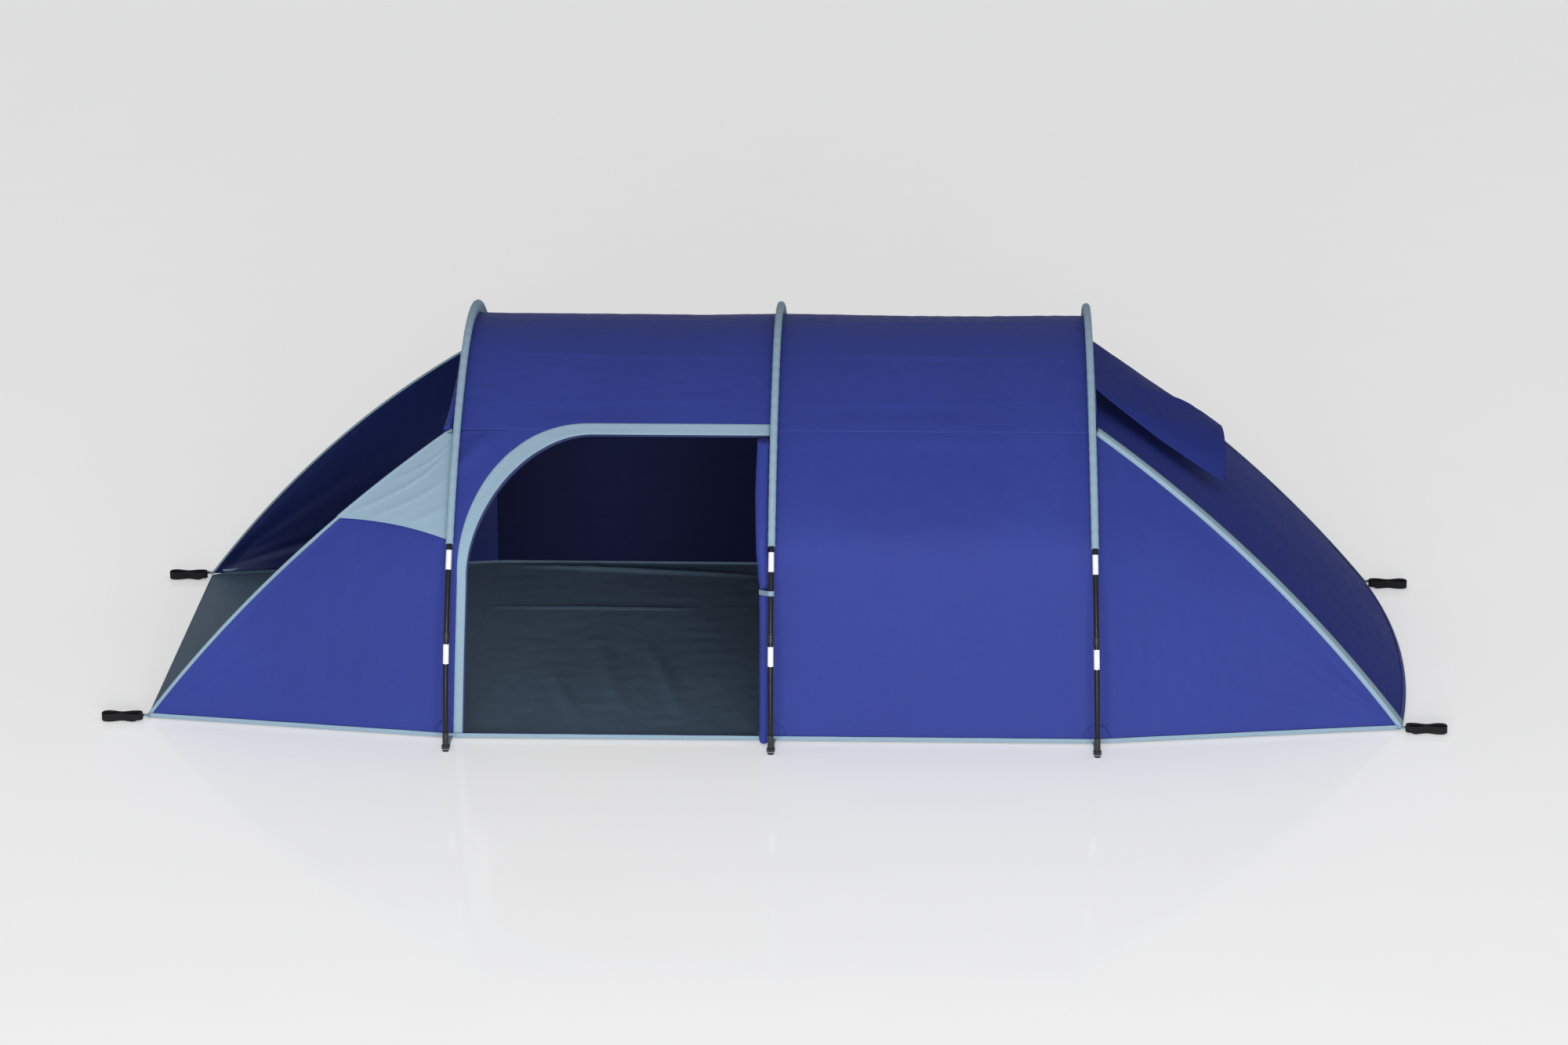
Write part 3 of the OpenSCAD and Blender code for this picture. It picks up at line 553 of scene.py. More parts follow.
def roof_folds(x, s, i):
    """Long faint folds along the roof, and creases by the side door's shoulder."""
    x0 = HOOPS[i]
    out = 0.0
    for k, (share, height, tilt) in enumerate(ROOF_FOLDS):
        s0 = GIRTH.length * share
        start, end = (x0 + 0.04 + 0.05 * (k % 2), s0), (x0 + 0.95, s0 + tilt)
        out = out + crease(x, s, start, end, 0.012, height)
    if i == 0:
        for z0, z1, xa, xb, h in SHOULDER_FOLDS:
            a, b = float(GIRTH.s_of_z(z0)), float(GIRTH.s_of_z(z1))
            out = out + crease(x, s, (xa, a), (xb, b), 0.0055, h)
            out = out - 0.5 * crease(x, s, (xa, a - 0.012), (xb, b - 0.012), 0.0070, h)
    return out


WRINKLE = [bay_wrinkles(0, 11), bay_wrinkles(1, 23)]


def bay_panel(name, i, s0, s1, nu, ns, node_name):
    u, s = grid(-0.003 * i, 1, nu, s0, s1, ns)
    lift = np.where(u < 0.0, -0.0006, 0.0) + (0.0003 if "roof" in name else 0.0)
    pts = bay_point(i, u, s, lift=lift, wrinkle=WRINKLE[i])
    panel(name, pts, BLUE, node_name, away=(0, 0, 0.4), lining=BLUE_INSIDE_SHADED)


ROOF = (S_SEAM - 0.005, GIRTH.length - S_SEAM + 0.005)
FAR_WALL = (GIRTH.length - S_SEAM, GIRTH.length)
bay_panel("front_roof_cloth", 0, *ROOF, 140, 150, "front_bay_roof")
bay_panel("rear_roof_cloth", 1, *ROOF, 140, 150, "rear_bay_roof")
bay_panel("rear_near_wall_cloth", 1, 0.0, S_SEAM, 140, 130, "rear_bay_near_wall")
bay_panel("front_far_wall_cloth", 0, *FAR_WALL, 110, 100, "front_bay_far_wall")
bay_panel("rear_far_wall_cloth", 1, *FAR_WALL, 110, 100, "rear_bay_far_wall")


# ------------ sleeves
def hoop_curve(z_end, count=180, off=0.0):
    """Points (y, z) along the pole's arch from the near leg at z_end over the top."""
    a_end = math.acos((z_end - LEG_Z) / R_LEG)
    leg_len, crown_len = R_LEG * (a_end - CROWN), R_CROWN * CROWN
    d = np.linspace(-(leg_len + crown_len), leg_len + crown_len, count)
    side = np.sign(d)
    e = np.abs(d)
    on_crown = e <= crown_len
    a = np.where(on_crown, e / R_CROWN, CROWN + (e - crown_len) / R_LEG)
    y = np.where(on_crown, (R_CROWN + off) * np.sin(a), LEG_Y + (R_LEG + off) * np.sin(a))
    z = np.where(on_crown, CROWN_Z + (R_CROWN + off) * np.cos(a), LEG_Z + (R_LEG + off) * np.cos(a))
    return side * y, z, side * np.sin(a), np.cos(a), d


def sleeve_cloth(i, node_name):
    """A sleeve's section swept over the hoop: round over the pole, with two sides sewn to the roof."""
    y, z, ny, nz, d = hoop_curve(SLEEVE_END, 300)
    r = 0.0107
    over = [(r * math.sin(a), r * math.cos(a)) for a in np.radians(np.linspace(-130, 130, 21))]
    left = [(-0.0085, -0.012), (-0.0072, -0.018), (-0.0066, -0.023), (-0.0072, -0.0272)]
    section = left[::-1] + over + [(-x, w) for x, w in left]
    pts = np.zeros((len(y), len(section), 3))
    pucker = 0.0006 * np.sin(d * 2 * math.pi / 0.035 + 1.7 * np.sin(d * 11))
    pucker = pucker + 0.0004 * waves(d, d * 0, 5 + i, 6, 0.02, 0.09)
    for k, (px, pr) in enumerate(section):
        x = px + np.sign(px) * pucker * (1.0 if pr < -0.005 else 0.5)
        rad = pr + (0.0006 * np.sin(d * 2 * math.pi / 0.05 + 1) if pr > 0 else 0)
        pts[:, k, 1] = y + ny * rad
        pts[:, k, 2] = z + nz * rad
        pts[:, k, 0] = hoop_x(i, pts[:, k, 2]) + x
    panel(node_name + "_cloth", pts, LIGHT, node_name, thick=0.0009, away=(HOOPS[i], 0, 0.45))


for i, hoop in enumerate(HOOP_NAMES):
    sleeve_cloth(i, hoop + "_sleeve")


# ------------ porch wings and rear sides
def end_edge(dirn, t):
    """The free edge from a ground corner, t = 0, to the seam at an end hoop, t = 1, near side."""
    t = np.asarray(t, float)[..., None]
    i = 0 if dirn < 0 else 2
    reach, half = (FRONT_REACH, FRONT_HALF) if dirn < 0 else (REAR_REACH, REAR_HALF)
    corner = np.array([MID_X + dirn * reach, -half, HEM_Z])
    top = np.array([hoop_x(i, SEAM_Z) + dirn * 0.012, -float(wall_half(SEAM_Z)), SEAM_Z])
    chord = top - corner
    rise = np.array([dirn * abs(chord[2]), 0, abs(chord[0])]) / math.hypot(chord[0], chord[2])
    bulge, bow = (BULGE_WING, BOW_WING) if dirn < 0 else (BULGE_SEAM, 0.0)
    return corner + t * chord + 4 * t * (1 - t) * (bulge * rise - bow * np.array([0.0, 1.0, 0.0]))


def edge_out(dirn, t):
    """Outward normal of the free edge, in the upright plane along the tent."""
    d = end_edge(dirn, np.minimum(t + 0.01, 1)) - end_edge(dirn, np.maximum(t - 0.01, 0))
    n = np.stack([dirn * np.abs(d[..., 2]), np.zeros(d.shape[:-1]), np.abs(d[..., 0])], -1)
    return n / np.linalg.norm(n, axis=-1)[..., None]


def side_point(dirn, u, t):
    """Point of an end's side cloth: u from the hoop's leg to the free edge, t from hem to seam."""
    i = 0 if dirn < 0 else 2
    z = HEM_Z + t * (SEAM_Z - HEM_Z)
    half = len(GIRTH.s) // 2 + 1
    y = -np.interp(z, GIRTH.z[:half], -GIRTH.y[:half]) - 0.0008
    leg = np.stack([hoop_x(i, z) - dirn * 0.004, y, z], -1)
    return leg + u[..., None] * (end_edge(dirn, t) - leg)


def end_side(node_name, dirn, side, seed, folds=5, height=0.006):
    t, u = grid(0, 1, 120, 0, 1, 110)
    p = side_point(dirn, u, t)
    x, z = p[..., 0] - MID_X, p[..., 2]
    corner_x = dirn * (FRONT_REACH if dirn < 0 else REAR_REACH)
    fade = np.clip(np.minimum(u, 1 - u) / 0.06, 0, 1) * np.clip(t / 0.09, 0, 1)
    a0, a1 = (0.05, 0.75) if dirn < 0 else (math.pi - 0.75, math.pi - 0.05)
    d = fan(x, z, corner_x, HEM_Z, seed, folds, 0.9, height, a0, a1)
    d += 0.0016 * waves(x, z, seed + 3, 9, 0.08, 0.45)
    d += 0.0006 * waves(x, z, seed + 4, 6, 0.03, 0.09)
    p[..., 1] += (0.004 - d) * fade
    p[..., 1] *= -side
    panel(node_name + "_cloth", p, BLUE, node_name, away=(dirn * 1.3, 0, 0.3),
          lining=WING_INSIDE_SHADED if dirn < 0 else BLUE_INSIDE_SHADED)


end_side("near_wing", -1, NEAR, 31)
end_side("far_wing", -1, FAR, 37, folds=9, height=0.026)
end_side("near_rear_side", 1, NEAR, 41)
end_side("far_rear_side", 1, FAR, 43)

PIPING = ((0.0022, -0.006), (0.0024, -0.002), (0.0022, 0.0026), (0.0008, 0.0036), (-0.0012, 0.0036),
          (-0.0026, 0.0026), (-0.0028, -0.002), (-0.0026, -0.006))


def wing_piping(node_name, side):
    """Tape folded over a wing's free edge; thinner on the far side."""
    t = np.linspace(0.0, 0.995, 120)
    e, n = end_edge(-1, t), edge_out(-1, t)
    e[:, 1] *= -side
    tall = 1.0 if side == NEAR else 0.6
    rows = [e + n * up * tall + np.array([0, across * -side, 0]) for across, up in PIPING]
    panel(node_name + "_tape", np.stack(rows, 1), WEB, node_name, thick=0.0006, away=(-1.0, 0, 0.2))


for side, word in SIDES:
    wing_piping(word + "_wing_piping", side)

FLAP_FOLDS = (((0.98, 0.04), (0.35, 0.80), 0.0040), ((0.80, 0.02), (0.15, 0.60), 0.0032),
              ((0.45, 0.02), (0.06, 0.35), 0.0030), ((0.95, 0.40), (0.30, 0.97), 0.0026))
FLAP_WRAP = ((0.0030, -0.0046), (0.0048, -0.0030), (0.0050, 0.0020), (0.0030, 0.0036), (-0.0060, 0.0036))


def wing_flap(node_name, side):
    """Reinforcing cloth over a wing's top corner. The near one wraps round the free edge."""
    v, u = grid(0, 1, 60, 0.03, 1.0, 54)
    low = 0.668 + 0.012 * (1 - u) + 0.017 * 4 * u * (1 - u)
    t = low + (0.985 - low) * v
    p = side_point(-1, u, t)
    stand = 0.0045 + 0.006 * (1 - v) ** 3 * np.clip(4 * u * (1 - u), 0, 1)
    ripple = 0.0012 * waves(p[..., 0], p[..., 2], 71, 6, 0.05, 0.25)
    for a, b, height in FLAP_FOLDS:
        ripple = ripple + crease(u, v, a, b, 0.030, height)
    p[..., 1] -= stand + ripple * np.clip(v / 0.08, 0, 1) * np.clip((1 - u) / 0.05, 0, 1)
    p[..., 0] = np.minimum(p[..., 0], hoop_x(0, p[..., 2]) - 0.0125)
    if side == NEAR:
        e, n = end_edge(-1, t[:, -1]), edge_out(-1, t[:, -1])
        wrap = [e + n * out + np.array([0.0, across, 0.0]) for out, across in FLAP_WRAP]
        p = np.concatenate([p, np.stack(wrap, 1)], 1)
    else:
        p = p[:, :-3]
    p[..., 1] *= -side
    panel(node_name + "_cloth", p, LIGHT, node_name, away=(-1.3, 0, 0.3))


for side, word in SIDES:
    wing_flap(word + "_wing_flap", side)


# ------------ rear end
def end_point(v, t):
    """Point of the rear end panel: v from edge to edge, t from hem to seam."""
    e = end_edge(1, t)
    crown = BULGE_REAR_HEM * (1 - t) + 0.012 * t
    lift = crown * (1 - v * v)
    a = t * math.pi / 2
    return np.stack([e[..., 0] + lift * np.cos(a), -v * e[..., 1], e[..., 2] + lift * np.sin(a)], -1)


def rear_panel():
    t, v = grid(0, 1, 140, -0.994, 0.994, 150)
    p = end_point(v, t)
    edge = np.clip((1 - np.abs(v)) / 0.05, 0, 1) * np.clip(np.minimum(t, 1 - t) / 0.03, 0, 1)
    y, run = p[..., 1].copy(), t * 1.3
    d = 0.002 * waves(y, run, 51, 9, 0.10, 0.6) + 0.0006 * waves(y, run, 52, 6, 0.03, 0.1)
    p[..., 0] += d * edge * 0.7
    p[..., 2] += d * edge * 0.7
    panel("rear_end_cloth", p, BLUE_REAR_SHADED, "rear_end_panel", away=(0.9, 0, 0.2), lining=BLUE_INSIDE_SHADED)


rear_panel()


def rear_gable():
    """Upright cloth from the rear hoop's arch down to the top of the end panel."""
    y, z = hoop_curve(SLEEVE_END, 1200, off=-STAND)[:2]
    keep = z >= SEAM_Z
    y, z = y[keep], z[keep]
    pick = np.linspace(0, len(y) - 1, 90).astype(int)
    y, z = y[pick], z[pick]
    v = y / np.abs(y).max()
    top = np.stack([hoop_x(2, z) + 0 * z, y, z], -1)
    low = end_point(-v, np.ones_like(v))
    low[:, 1] = y
    w = np.linspace(0, 1, 24)[None]
    p = top[:, None] * (1 - w[..., None]) + low[:, None] * w[..., None]
    p[..., 0] += 0.010 * np.sin(np.pi * w) * np.clip((1 - np.abs(v))[:, None] * 4, 0, 1)
    panel("rear_gable_cloth", p, BLUE, "rear_gable", away=(0.3, 0, 0.9))


rear_gable()

BAND_EDGE = ((-0.0058, -0.0060), (-0.0062, -0.0030), (-0.006, 0.0005), (-0.006, 0.0040), (-0.0055, 0.0066),
             (-0.0042, 0.0074), (-0.002, 0.0076))


def seam_band(node_name, side):
    """Band over a rear seam: it stands up along the side cloth, then lies on the end panel."""
    t = np.linspace(0.004, 1.0, 140)
    e, n = end_edge(1, t), edge_out(1, t)
    wide = 0.035 - 0.010 * t
    tall = 1.0 if side == NEAR else 0.3
    rows = [e + n * up * tall + np.array([0, across, 0]) for across, up in BAND_EDGE]
    for f in (0.2, 0.45, 0.7, 0.92, 1.0):
        into = f * wide
        up = 0.0074 * tall + 0.22 * into - (0.006 if f == 1.0 else 0.0) * tall
        rows.append(e + n * up[:, None] + np.stack([0 * t, into - 0.006, 0 * t], -1))
    pts = np.stack(rows, 1)
    pts[..., 1] *= -side
    panel(node_name + "_tape", pts, LIGHT, node_name, thick=0.0008, away=(1.0, 0, 0.1))


for side, word in SIDES:
    seam_band(word + "_seam_band", side)

# ------------ vent hood
HOOD_HALF, HOOD_REACH, HOOD_X, HOOD_Z = 0.250, 0.416, HOOPS[2] - 0.012, 0.985
HOOD_DROP = math.tan(math.radians(36.8))
HOOD_FOLDS = (((-0.02, 0.16), (0.15, 0.40), 0.022, 0.009), ((0.08, 0.30), (0.22, 0.52), 0.018, 0.008),
              ((-0.10, 0.20), (0.06, 0.44), 0.030, -0.005), ((-0.22, 0.30), (0.02, 0.22), 0.012, 0.0035))


def hood_point(v, t):
    lift = t * (0.062 * (1 - v * v) + 0.018 * (1 + v) / 2)
    return np.stack([HOOD_X + HOOD_REACH * t + 0.012 * t * (1 - v * v), v * HOOD_HALF,
                     HOOD_Z - HOOD_REACH * HOOD_DROP * t + lift], -1)


def vent_hood():
    """The hood's cloth with its hem and folds; its near edge hangs a little."""
    t, v = grid(0, 1, 80, -1, 1, 90)
    p = hood_point(v, t)
    y, run = p[..., 1], t * 0.5
    d = 0.0015 * waves(y, run, 61, 8, 0.06, 0.35) * np.clip(t / 0.1, 0, 1)
    for a, b, width, height in HOOD_FOLDS:
        d = d + crease(y, run, a, b, width, height)
    hem = np.where(t > 0.953, 0.0006, 0.0)
    fall = np.clip((-v - 0.72) / 0.28, 0, 1) ** 1.5 * np.sin(np.pi * np.clip(t, 0, 1)) ** 0.7
    p[..., 2] += d + hem - 0.014 * fall
    panel("vent_hood_cloth", p, BLUE_REAR_SHADED, ("vent_hood", "vent_stiffener"), "vent_hood", away=(1.1, 0, 0.3))


vent_hood()


def vent_mesh():
    t, v = grid(0.76, 0.94, 40, -0.14, 0.14, 50)
    p = end_point(v, t) + np.array([0.0022, 0, 0.0022])
    panel("vent_mesh_cloth", p, MESH_CLOTH, "vent_mesh", thick=0.0005, away=(0.9, 0, 0.2))


vent_mesh()


# ------------ floor sheets
def hem_half(x):
    """Half width of the tent at the ground."""
    return np.interp(x, [FRONT_X, HOOPS[0], HOOPS[2], REAR_X], [FRONT_HALF, HEM_HALF, HEM_HALF, REAR_HALF])


def floor_sheet(node_name, x0, x1, nx, ny, seed, marks=()):
    """A groundsheet with fold marks, and a low lip that stands up along its sides and its rear edge."""
    x, v = grid(x0, x1, nx, -1, 1, ny)
    if x1 > REAR_X:
        reach = REAR_X + BULGE_REAR_HEM * (1 - v * v) - 0.003
        x = x0 + (x - x0) / (x1 - x0) * (reach - x0)
    y = v * hem_half(x) * 0.9965
    edge = np.clip(np.minimum(1 - np.abs(v), np.minimum(x - x0, x1 - x) / 0.8) / 0.06, 0, 1)
    uneven = 0.0014 * waves(x, y, seed, 9, 0.12, 0.7) + 0.0006 * waves(x, y, seed + 1, 8, 0.04, 0.12)
    z = 0.0024 + edge * (0.0018 + uneven)
    for a, b, width, height in marks:
        z = z + edge * crease(x, y, a, b, width, height)
    p = np.stack([x, y, np.maximum(z, 0.0012)], -1)
    tall = 0.009 * np.clip(np.minimum(x[:, 0] - FRONT_X, REAR_X - x[:, 0]) / 0.06, 0, 1)
    lips = []
    for col in (0, -1):
        for up, inward in ((0.4, 0.0006), (1.0, 0.0016)):
            q = p[:, col].copy()
            q[:, 2] += tall * up
            q[:, 1] -= np.sign(q[:, 1]) * inward
            lips.append(q[:, None])
    p = np.concatenate([lips[1], lips[0], p, lips[2], lips[3]], 1)
    if x1 > REAR_X:
        back = [p[-1] + np.array([-0.018 * k, 0, 0.011 * k]) for k in (0.5, 1.0)]
        p = np.concatenate([p, np.stack(back, 0)], 0)
    panel(node_name + "_sheet", p, FLOOR_CLOTH, node_name, thick=0.001, away=(0, 0, -1))


FOLD_MARKS = (((-1.074, 0.345), (-0.276, 0.345), 0.007, 0.007),
              ((-1.01, 0.755), (-0.092, 0.661), 0.012, 0.011),
              ((-0.62, 0.10), (-0.50, -0.55), 0.030, 0.006), ((-0.45, 0.05), (-0.30, -0.60), 0.026, 0.006),
              ((-0.75, -0.20), (-0.62, -0.65), 0.022, 0.005))
floor_sheet("main_floor", HOOPS[0], REAR_X + BULGE_REAR_HEM, 240, 150, 81, FOLD_MARKS)
floor_sheet("porch_floor", FRONT_X, HOOPS[0] + 0.010, 120, 150, 85)

# ------------ hems, patches, tabs, loops
HEM_LOW, HEM_HIGH, HEM_OUT = 0.0055, 0.0185, 0.0022


def hem_band(node_name, side):
    """A flat band that stands on the hem's line and is moved outward from it."""
    x = np.linspace(FRONT_X + 0.004, REAR_X - 0.010, 260)
    line = np.column_stack([x, side * (hem_half(x) + 0.0006 * np.sin(x * 31) * np.sin(x * 7.3))])
    tangent = np.gradient(line, axis=0)
    tangent /= np.linalg.norm(tangent, axis=1)[:, None]
    right = np.column_stack([tangent[:, 1], -tangent[:, 0]])
    rows = []
    for f in np.linspace(0, 1, 7):
        out = -side * HEM_OUT + 0.0006 * math.sin(math.pi * f)
        height = np.full(len(x), HEM_LOW + (HEM_HIGH - HEM_LOW) * f)
        rows.append(np.column_stack([line + out * right, height]))
    panel(node_name + "_band", np.stack(rows, 1), LIGHT, node_name, away=(0, 0, 0.3))


for side, word in SIDES:
    hem_band(word + "_hem", side)


def rear_hem():
    v, t = grid(-0.96, 0.96, 120, 0.001, 0.014, 6)
    p = end_point(v, t) + np.array([0.0022, 0, 0.0012])
    panel("rear_hem_band", p, BLUE, "rear_hem", thick=0.0008, away=(0.9, 0, 0.2))


rear_hem()


def foot_patch(i, side, name):
    """Half-round patch on the wall above a foot. The front near one is cut off by the door."""
    r = 0.042
    start = math.pi / 2 if (i == 0 and side == NEAR) else 0.0
    a, q = grid(start, math.pi, 33, 0.02, 1, 10)
    x, z = HOOPS[i] + r * q * np.cos(a), 0.020 + r * q * np.sin(a)
    y = -wall_half(z) - 0.0022 - 0.0006 * (1 - q ** 6)
    panel(name, np.stack([x, y * -side, z], -1), BLUE, "foot_patches", thick=0.0008, away=(HOOPS[i], 0, 0.04))


def foot_tab(i, side, name):
    """Flat webbing tab: a ring round the pole's tip that widens towards the hem."""
    n, ring_r, hole_r, neck = 40, 0.0135, 0.0093, 0.004
    reach = FOOT - (HEM_HALF + 0.0035) - neck
    hole, outer = [], []
    for t in np.linspace(-math.pi / 2, 3 * math.pi / 2, n, endpoint=False):
        hole.append((hole_r * math.cos(t), -FOOT + hole_r * math.sin(t)))
        x, y = ring_r * math.cos(t), ring_r * math.sin(t)
        if y > neck:
            k = (y - neck) / (ring_r - neck)
            y = neck + k * reach
            x = math.copysign(max(abs(x), 0.0068 + 0.006 * k) if abs(x) > 1e-4 else 0, x if x else 1)
        outer.append((x, -FOOT + y))
    pts = np.zeros((n + 1, 5, 3))
    for j, f in enumerate(np.linspace(0, 1, 5)):
        for k in range(n + 1):
            h, o = hole[k % n], outer[k % n]
            x, y = h[0] * (1 - f) + o[0] * f, h[1] * (1 - f) + o[1] * f
            pts[k, j] = (HOOPS[i] + x, -side * y, 0.0078)
    panel(name, pts, WEB, "foot_tabs", thick=0.0018, away=(HOOPS[i], 0, -5))


for make, what in ((foot_patch, "foot_patch"), (foot_tab, "foot_tab")):
    for side, word in SIDES:
        for i, hoop in enumerate(HOOP_NAMES):
            make(i, side, f"{hoop}_{word}_{what}")


def corner_loop(dirn, side, name):
    """Webbing loop at a ground corner, which the guy rope is tied to."""
    cx, cy = (FRONT_X, FRONT_HALF) if dirn < 0 else (REAR_X, REAR_HALF)
    half_w, r, z = 0.004, 0.0085, 0.0085
    turn = np.linspace(-math.pi / 2, math.pi / 2, 18)
    bend = [(0.0085 + r * 0.8 * math.cos(t), 0.0068 * math.sin(t)) for t in turn]
    path = [(-0.004, -0.0055), (0.002, -0.0062)] + bend + [(0.002, 0.0062), (-0.004, 0.0055)]
    rows = []
    for w in np.linspace(-1, 1, 5):
        rows.append([(cx + dirn * x, side * cy + y, z + half_w * w * 0.6) for x, y in path])
    panel(name, np.swapaxes(np.array(rows), 0, 1), WEB, "corner_loops", thick=0.0014, away=(cx, side * cy, z))


for dirn, end in ((-1, "front"), (1, "rear")):
    for side, word in SIDES:
        corner_loop(dirn, side, f"{end}_{word}_corner_loop")

# ------------ side door
DOOR_W, DOOR_H, TRIM_W, CORNER_X, CORNER_Z, JAMB_SLOPE = 0.959, 0.893, 0.025, 0.560, 0.500, 0.018
SILL_Z, DOOR_END = 0.018, -0.012
DOOR_FOLDS = (((-0.995, 0.800), (-0.885, 0.878), 0.014, 0.0130),
              ((-0.99, 0.845), (-0.86, 0.892), 0.010, 0.0090),
              ((-0.995, 0.825), (-0.875, 0.884), 0.009, -0.0060))
TRIM = ((-0.02, -0.0012), (0.0, 0.0012), (0.03, 0.0026), (0.10, 0.0028), (0.30, 0.0021), (0.5, 0.0020),
        (0.7, 0.0021), (0.90, 0.0027), (0.97, 0.0024), (1.0, 0.0006))
ZIP = ((0.02, -0.0016), (-0.06, -0.0012), (-0.16, -0.0012), (-0.20, -0.0016))


def door_line(grow, n):
    """Door outline in x from the middle hoop and z: jamb, rounded shoulder, header, evenly spaced."""
    jamb, head, power = DOOR_W + grow * 1.08, DOOR_H + grow, 2 + 0.28 * grow / TRIM_W
    t = np.linspace(0, np.pi / 2, 60)
    x = -CORNER_X - (jamb - JAMB_SLOPE - CORNER_X) * np.cos(t) ** (2 / power)
    z = CORNER_Z + (head - CORNER_Z) * np.sin(t) ** (2 / power)
    x = np.concatenate([[-jamb, -jamb + JAMB_SLOPE * 0.45], x, [-0.3, DOOR_END]])
    z = np.concatenate([[SILL_Z, 0.26], z, [head, head]])
    d = np.concatenate([[0], np.cumsum(np.hypot(np.diff(x), np.diff(z)))])
    s = np.linspace(0, 1, n) * d[-1]
    return np.interp(s, d, x), np.interp(s, d, z)


def wall_point(x_rel, z, lift):
    """Point on the front bay's near cloth at x (from the middle hoop) and height z."""
    x0, x1 = hoop_x(0, z), hoop_x(1, z)
    u = (MID_X + x_rel - x0) / (x1 - x0)
    return bay_point(0, np.clip(u, 0, 1), GIRTH.s_of_z(z), lift=lift, wrinkle=WRINKLE[0])


def wall_edge(x, z):
    """Where the wall ends beyond a point of the door's outline: at the front hoop or at the roof's seam."""
    if z < CORNER_Z:
        return hoop_x(0, z) - MID_X, z
    if x > -CORNER_X:
        return x, SEAM_Z
    dx, dz = x + CORNER_X, z - CORNER_Z
    kx = (hoop_x(0, z) - MID_X + CORNER_X) / dx if abs(dx) > 1e-9 else 1e9
    kz = (SEAM_Z - CORNER_Z) / dz if dz > 1e-9 else 1e9
    k = min(kx, kz)
    return -CORNER_X + dx * k, CORNER_Z + dz * k


def door_wall():
    """The cloth round the door's opening, the sill under it and the strip beside the middle hoop."""
    ix, iz = door_line(0.0, 260)
    ox, oz = np.array([wall_edge(x, z) for x, z in zip(ix, iz)], float).T
    w = np.linspace(0, 1, 14)[None]
    x, z = ix[:, None] * (1 - w) + ox[:, None] * w, iz[:, None] * (1 - w) + oz[:, None] * w
    fold = sum(crease(x, z, *mark) for mark in DOOR_FOLDS) * np.clip((SEAM_Z - 0.008 - z) / 0.02, 0, 1)
    away = (-0.5, 0, 0.3)
    panel("door_wall_cloth", wall_point(x, z, fold), BLUE, "door_wall", away=away, lining=BLUE_INSIDE_SHADED)
    x, z = grid(-1.0, 0.0, 200, HEM_Z, SILL_Z, 4)
    panel("door_sill_cloth", wall_point(x, z, 0.0), BLUE, away=away)
    z, x = grid(SILL_Z, SEAM_Z, 120, DOOR_END, 0.0, 3)
    panel("door_side_strip_cloth", wall_point(x, z, 0.0), BLUE, away=away)


door_wall()


def door_trim():
    """Binding round the opening, and the zip's tape just inside it."""
    (ix, iz), (ox, oz) = door_line(0.0, 320), door_line(TRIM_W, 320)

    def rows(profile):
        lines = [(ix * (1 - f) + ox * f, iz * (1 - f) + oz * f, lift) for f, lift in profile]
        return np.stack([wall_point(*line) for line in lines], 1)

    panel("door_trim_binding", rows(TRIM), LIGHT, "door_trim", thick=0.0007, away=(-0.5, 0, 0.3))
    panel("side_door_zip_tape", rows(ZIP), ZIP_TAPE, thick=0.0006, away=(-0.5, 0, 0.3))


door_trim()

# ------------ rolled side door
ROLL_X, ROLL_D, ROLL_FOOT_Y, ROLL_FOOT_Z, ROLL_BEND_Z = -0.033, 0.040, 0.818, 0.027, 0.640
ROLL_OFF = -STAND + ROLL_D / 2 + 0.0025
TIE_Z = 0.480


def roll_half(z):
    """How far the roll's axis is from the middle of the tent at height z."""
    bend = float(arch_half(ROLL_BEND_Z, ROLL_OFF))
    low = bend + (ROLL_FOOT_Y - bend) * (ROLL_BEND_Z - z) / (ROLL_BEND_Z - ROLL_FOOT_Z)
    return np.where(z >= ROLL_BEND_Z, arch_half(z, ROLL_OFF), low)


def spiral(turns, per_turn, start=0.16):
    """Unit spiral wound outward from near its centre: angle and share of the outer radius."""
    a = np.linspace(0, 2 * np.pi * turns, int(turns * per_turn))
    return a, start + (1 - start) * a / a[-1]


def rolled_side_door():
    """The rolled door, slimmer below its tie and pinched in at it."""
    foot = [0.0075, 0.0085, 0.011, 0.016]
    z = np.concatenate([foot, np.linspace(0.022, 0.890, 86)])[:, None]
    share = np.interp(z, foot + [0.026, 0.88, 0.90], [0.62, 0.76, 0.88, 0.96, 1.0, 1.0, 0.96])
    slim = np.interp(z, [0.0, 0.40, 0.49, 0.60, 0.75, 0.89], [0.72, 0.72, 0.74, 0.90, 1.0, 0.96])
    tie = slim * (1 - 0.12 * np.exp(-((z - TIE_Z) / 0.020) ** 2))
    a, grow = spiral(13.4, 26)
    fold = 0.0006 * waves(z, a[None] * 0.02, 91, 8, 0.04, 0.22)
    r = (ROLL_D / 2 * grow[None] * share * tie) + fold * grow[None] ** 2
    slack = 0.0009 * np.sin(z * 23 + a[None] * 0.5) * (1 - grow[None])
    pts = np.stack([MID_X + ROLL_X + 0.0095 * (1 - slim) / 0.28 + (r + slack) * np.cos(a),
                    -roll_half(z) + 0.005 * (1 - slim) / 0.28 + (r + slack) * np.sin(a),
                    z * np.ones_like(r)], -1)
    away = (MID_X + ROLL_X, -0.7, 0.45)
    panel("rolled_side_door_cloth", pts, BLUE, "rolled_side_door", thick=0.0007, away=away)


rolled_side_door()


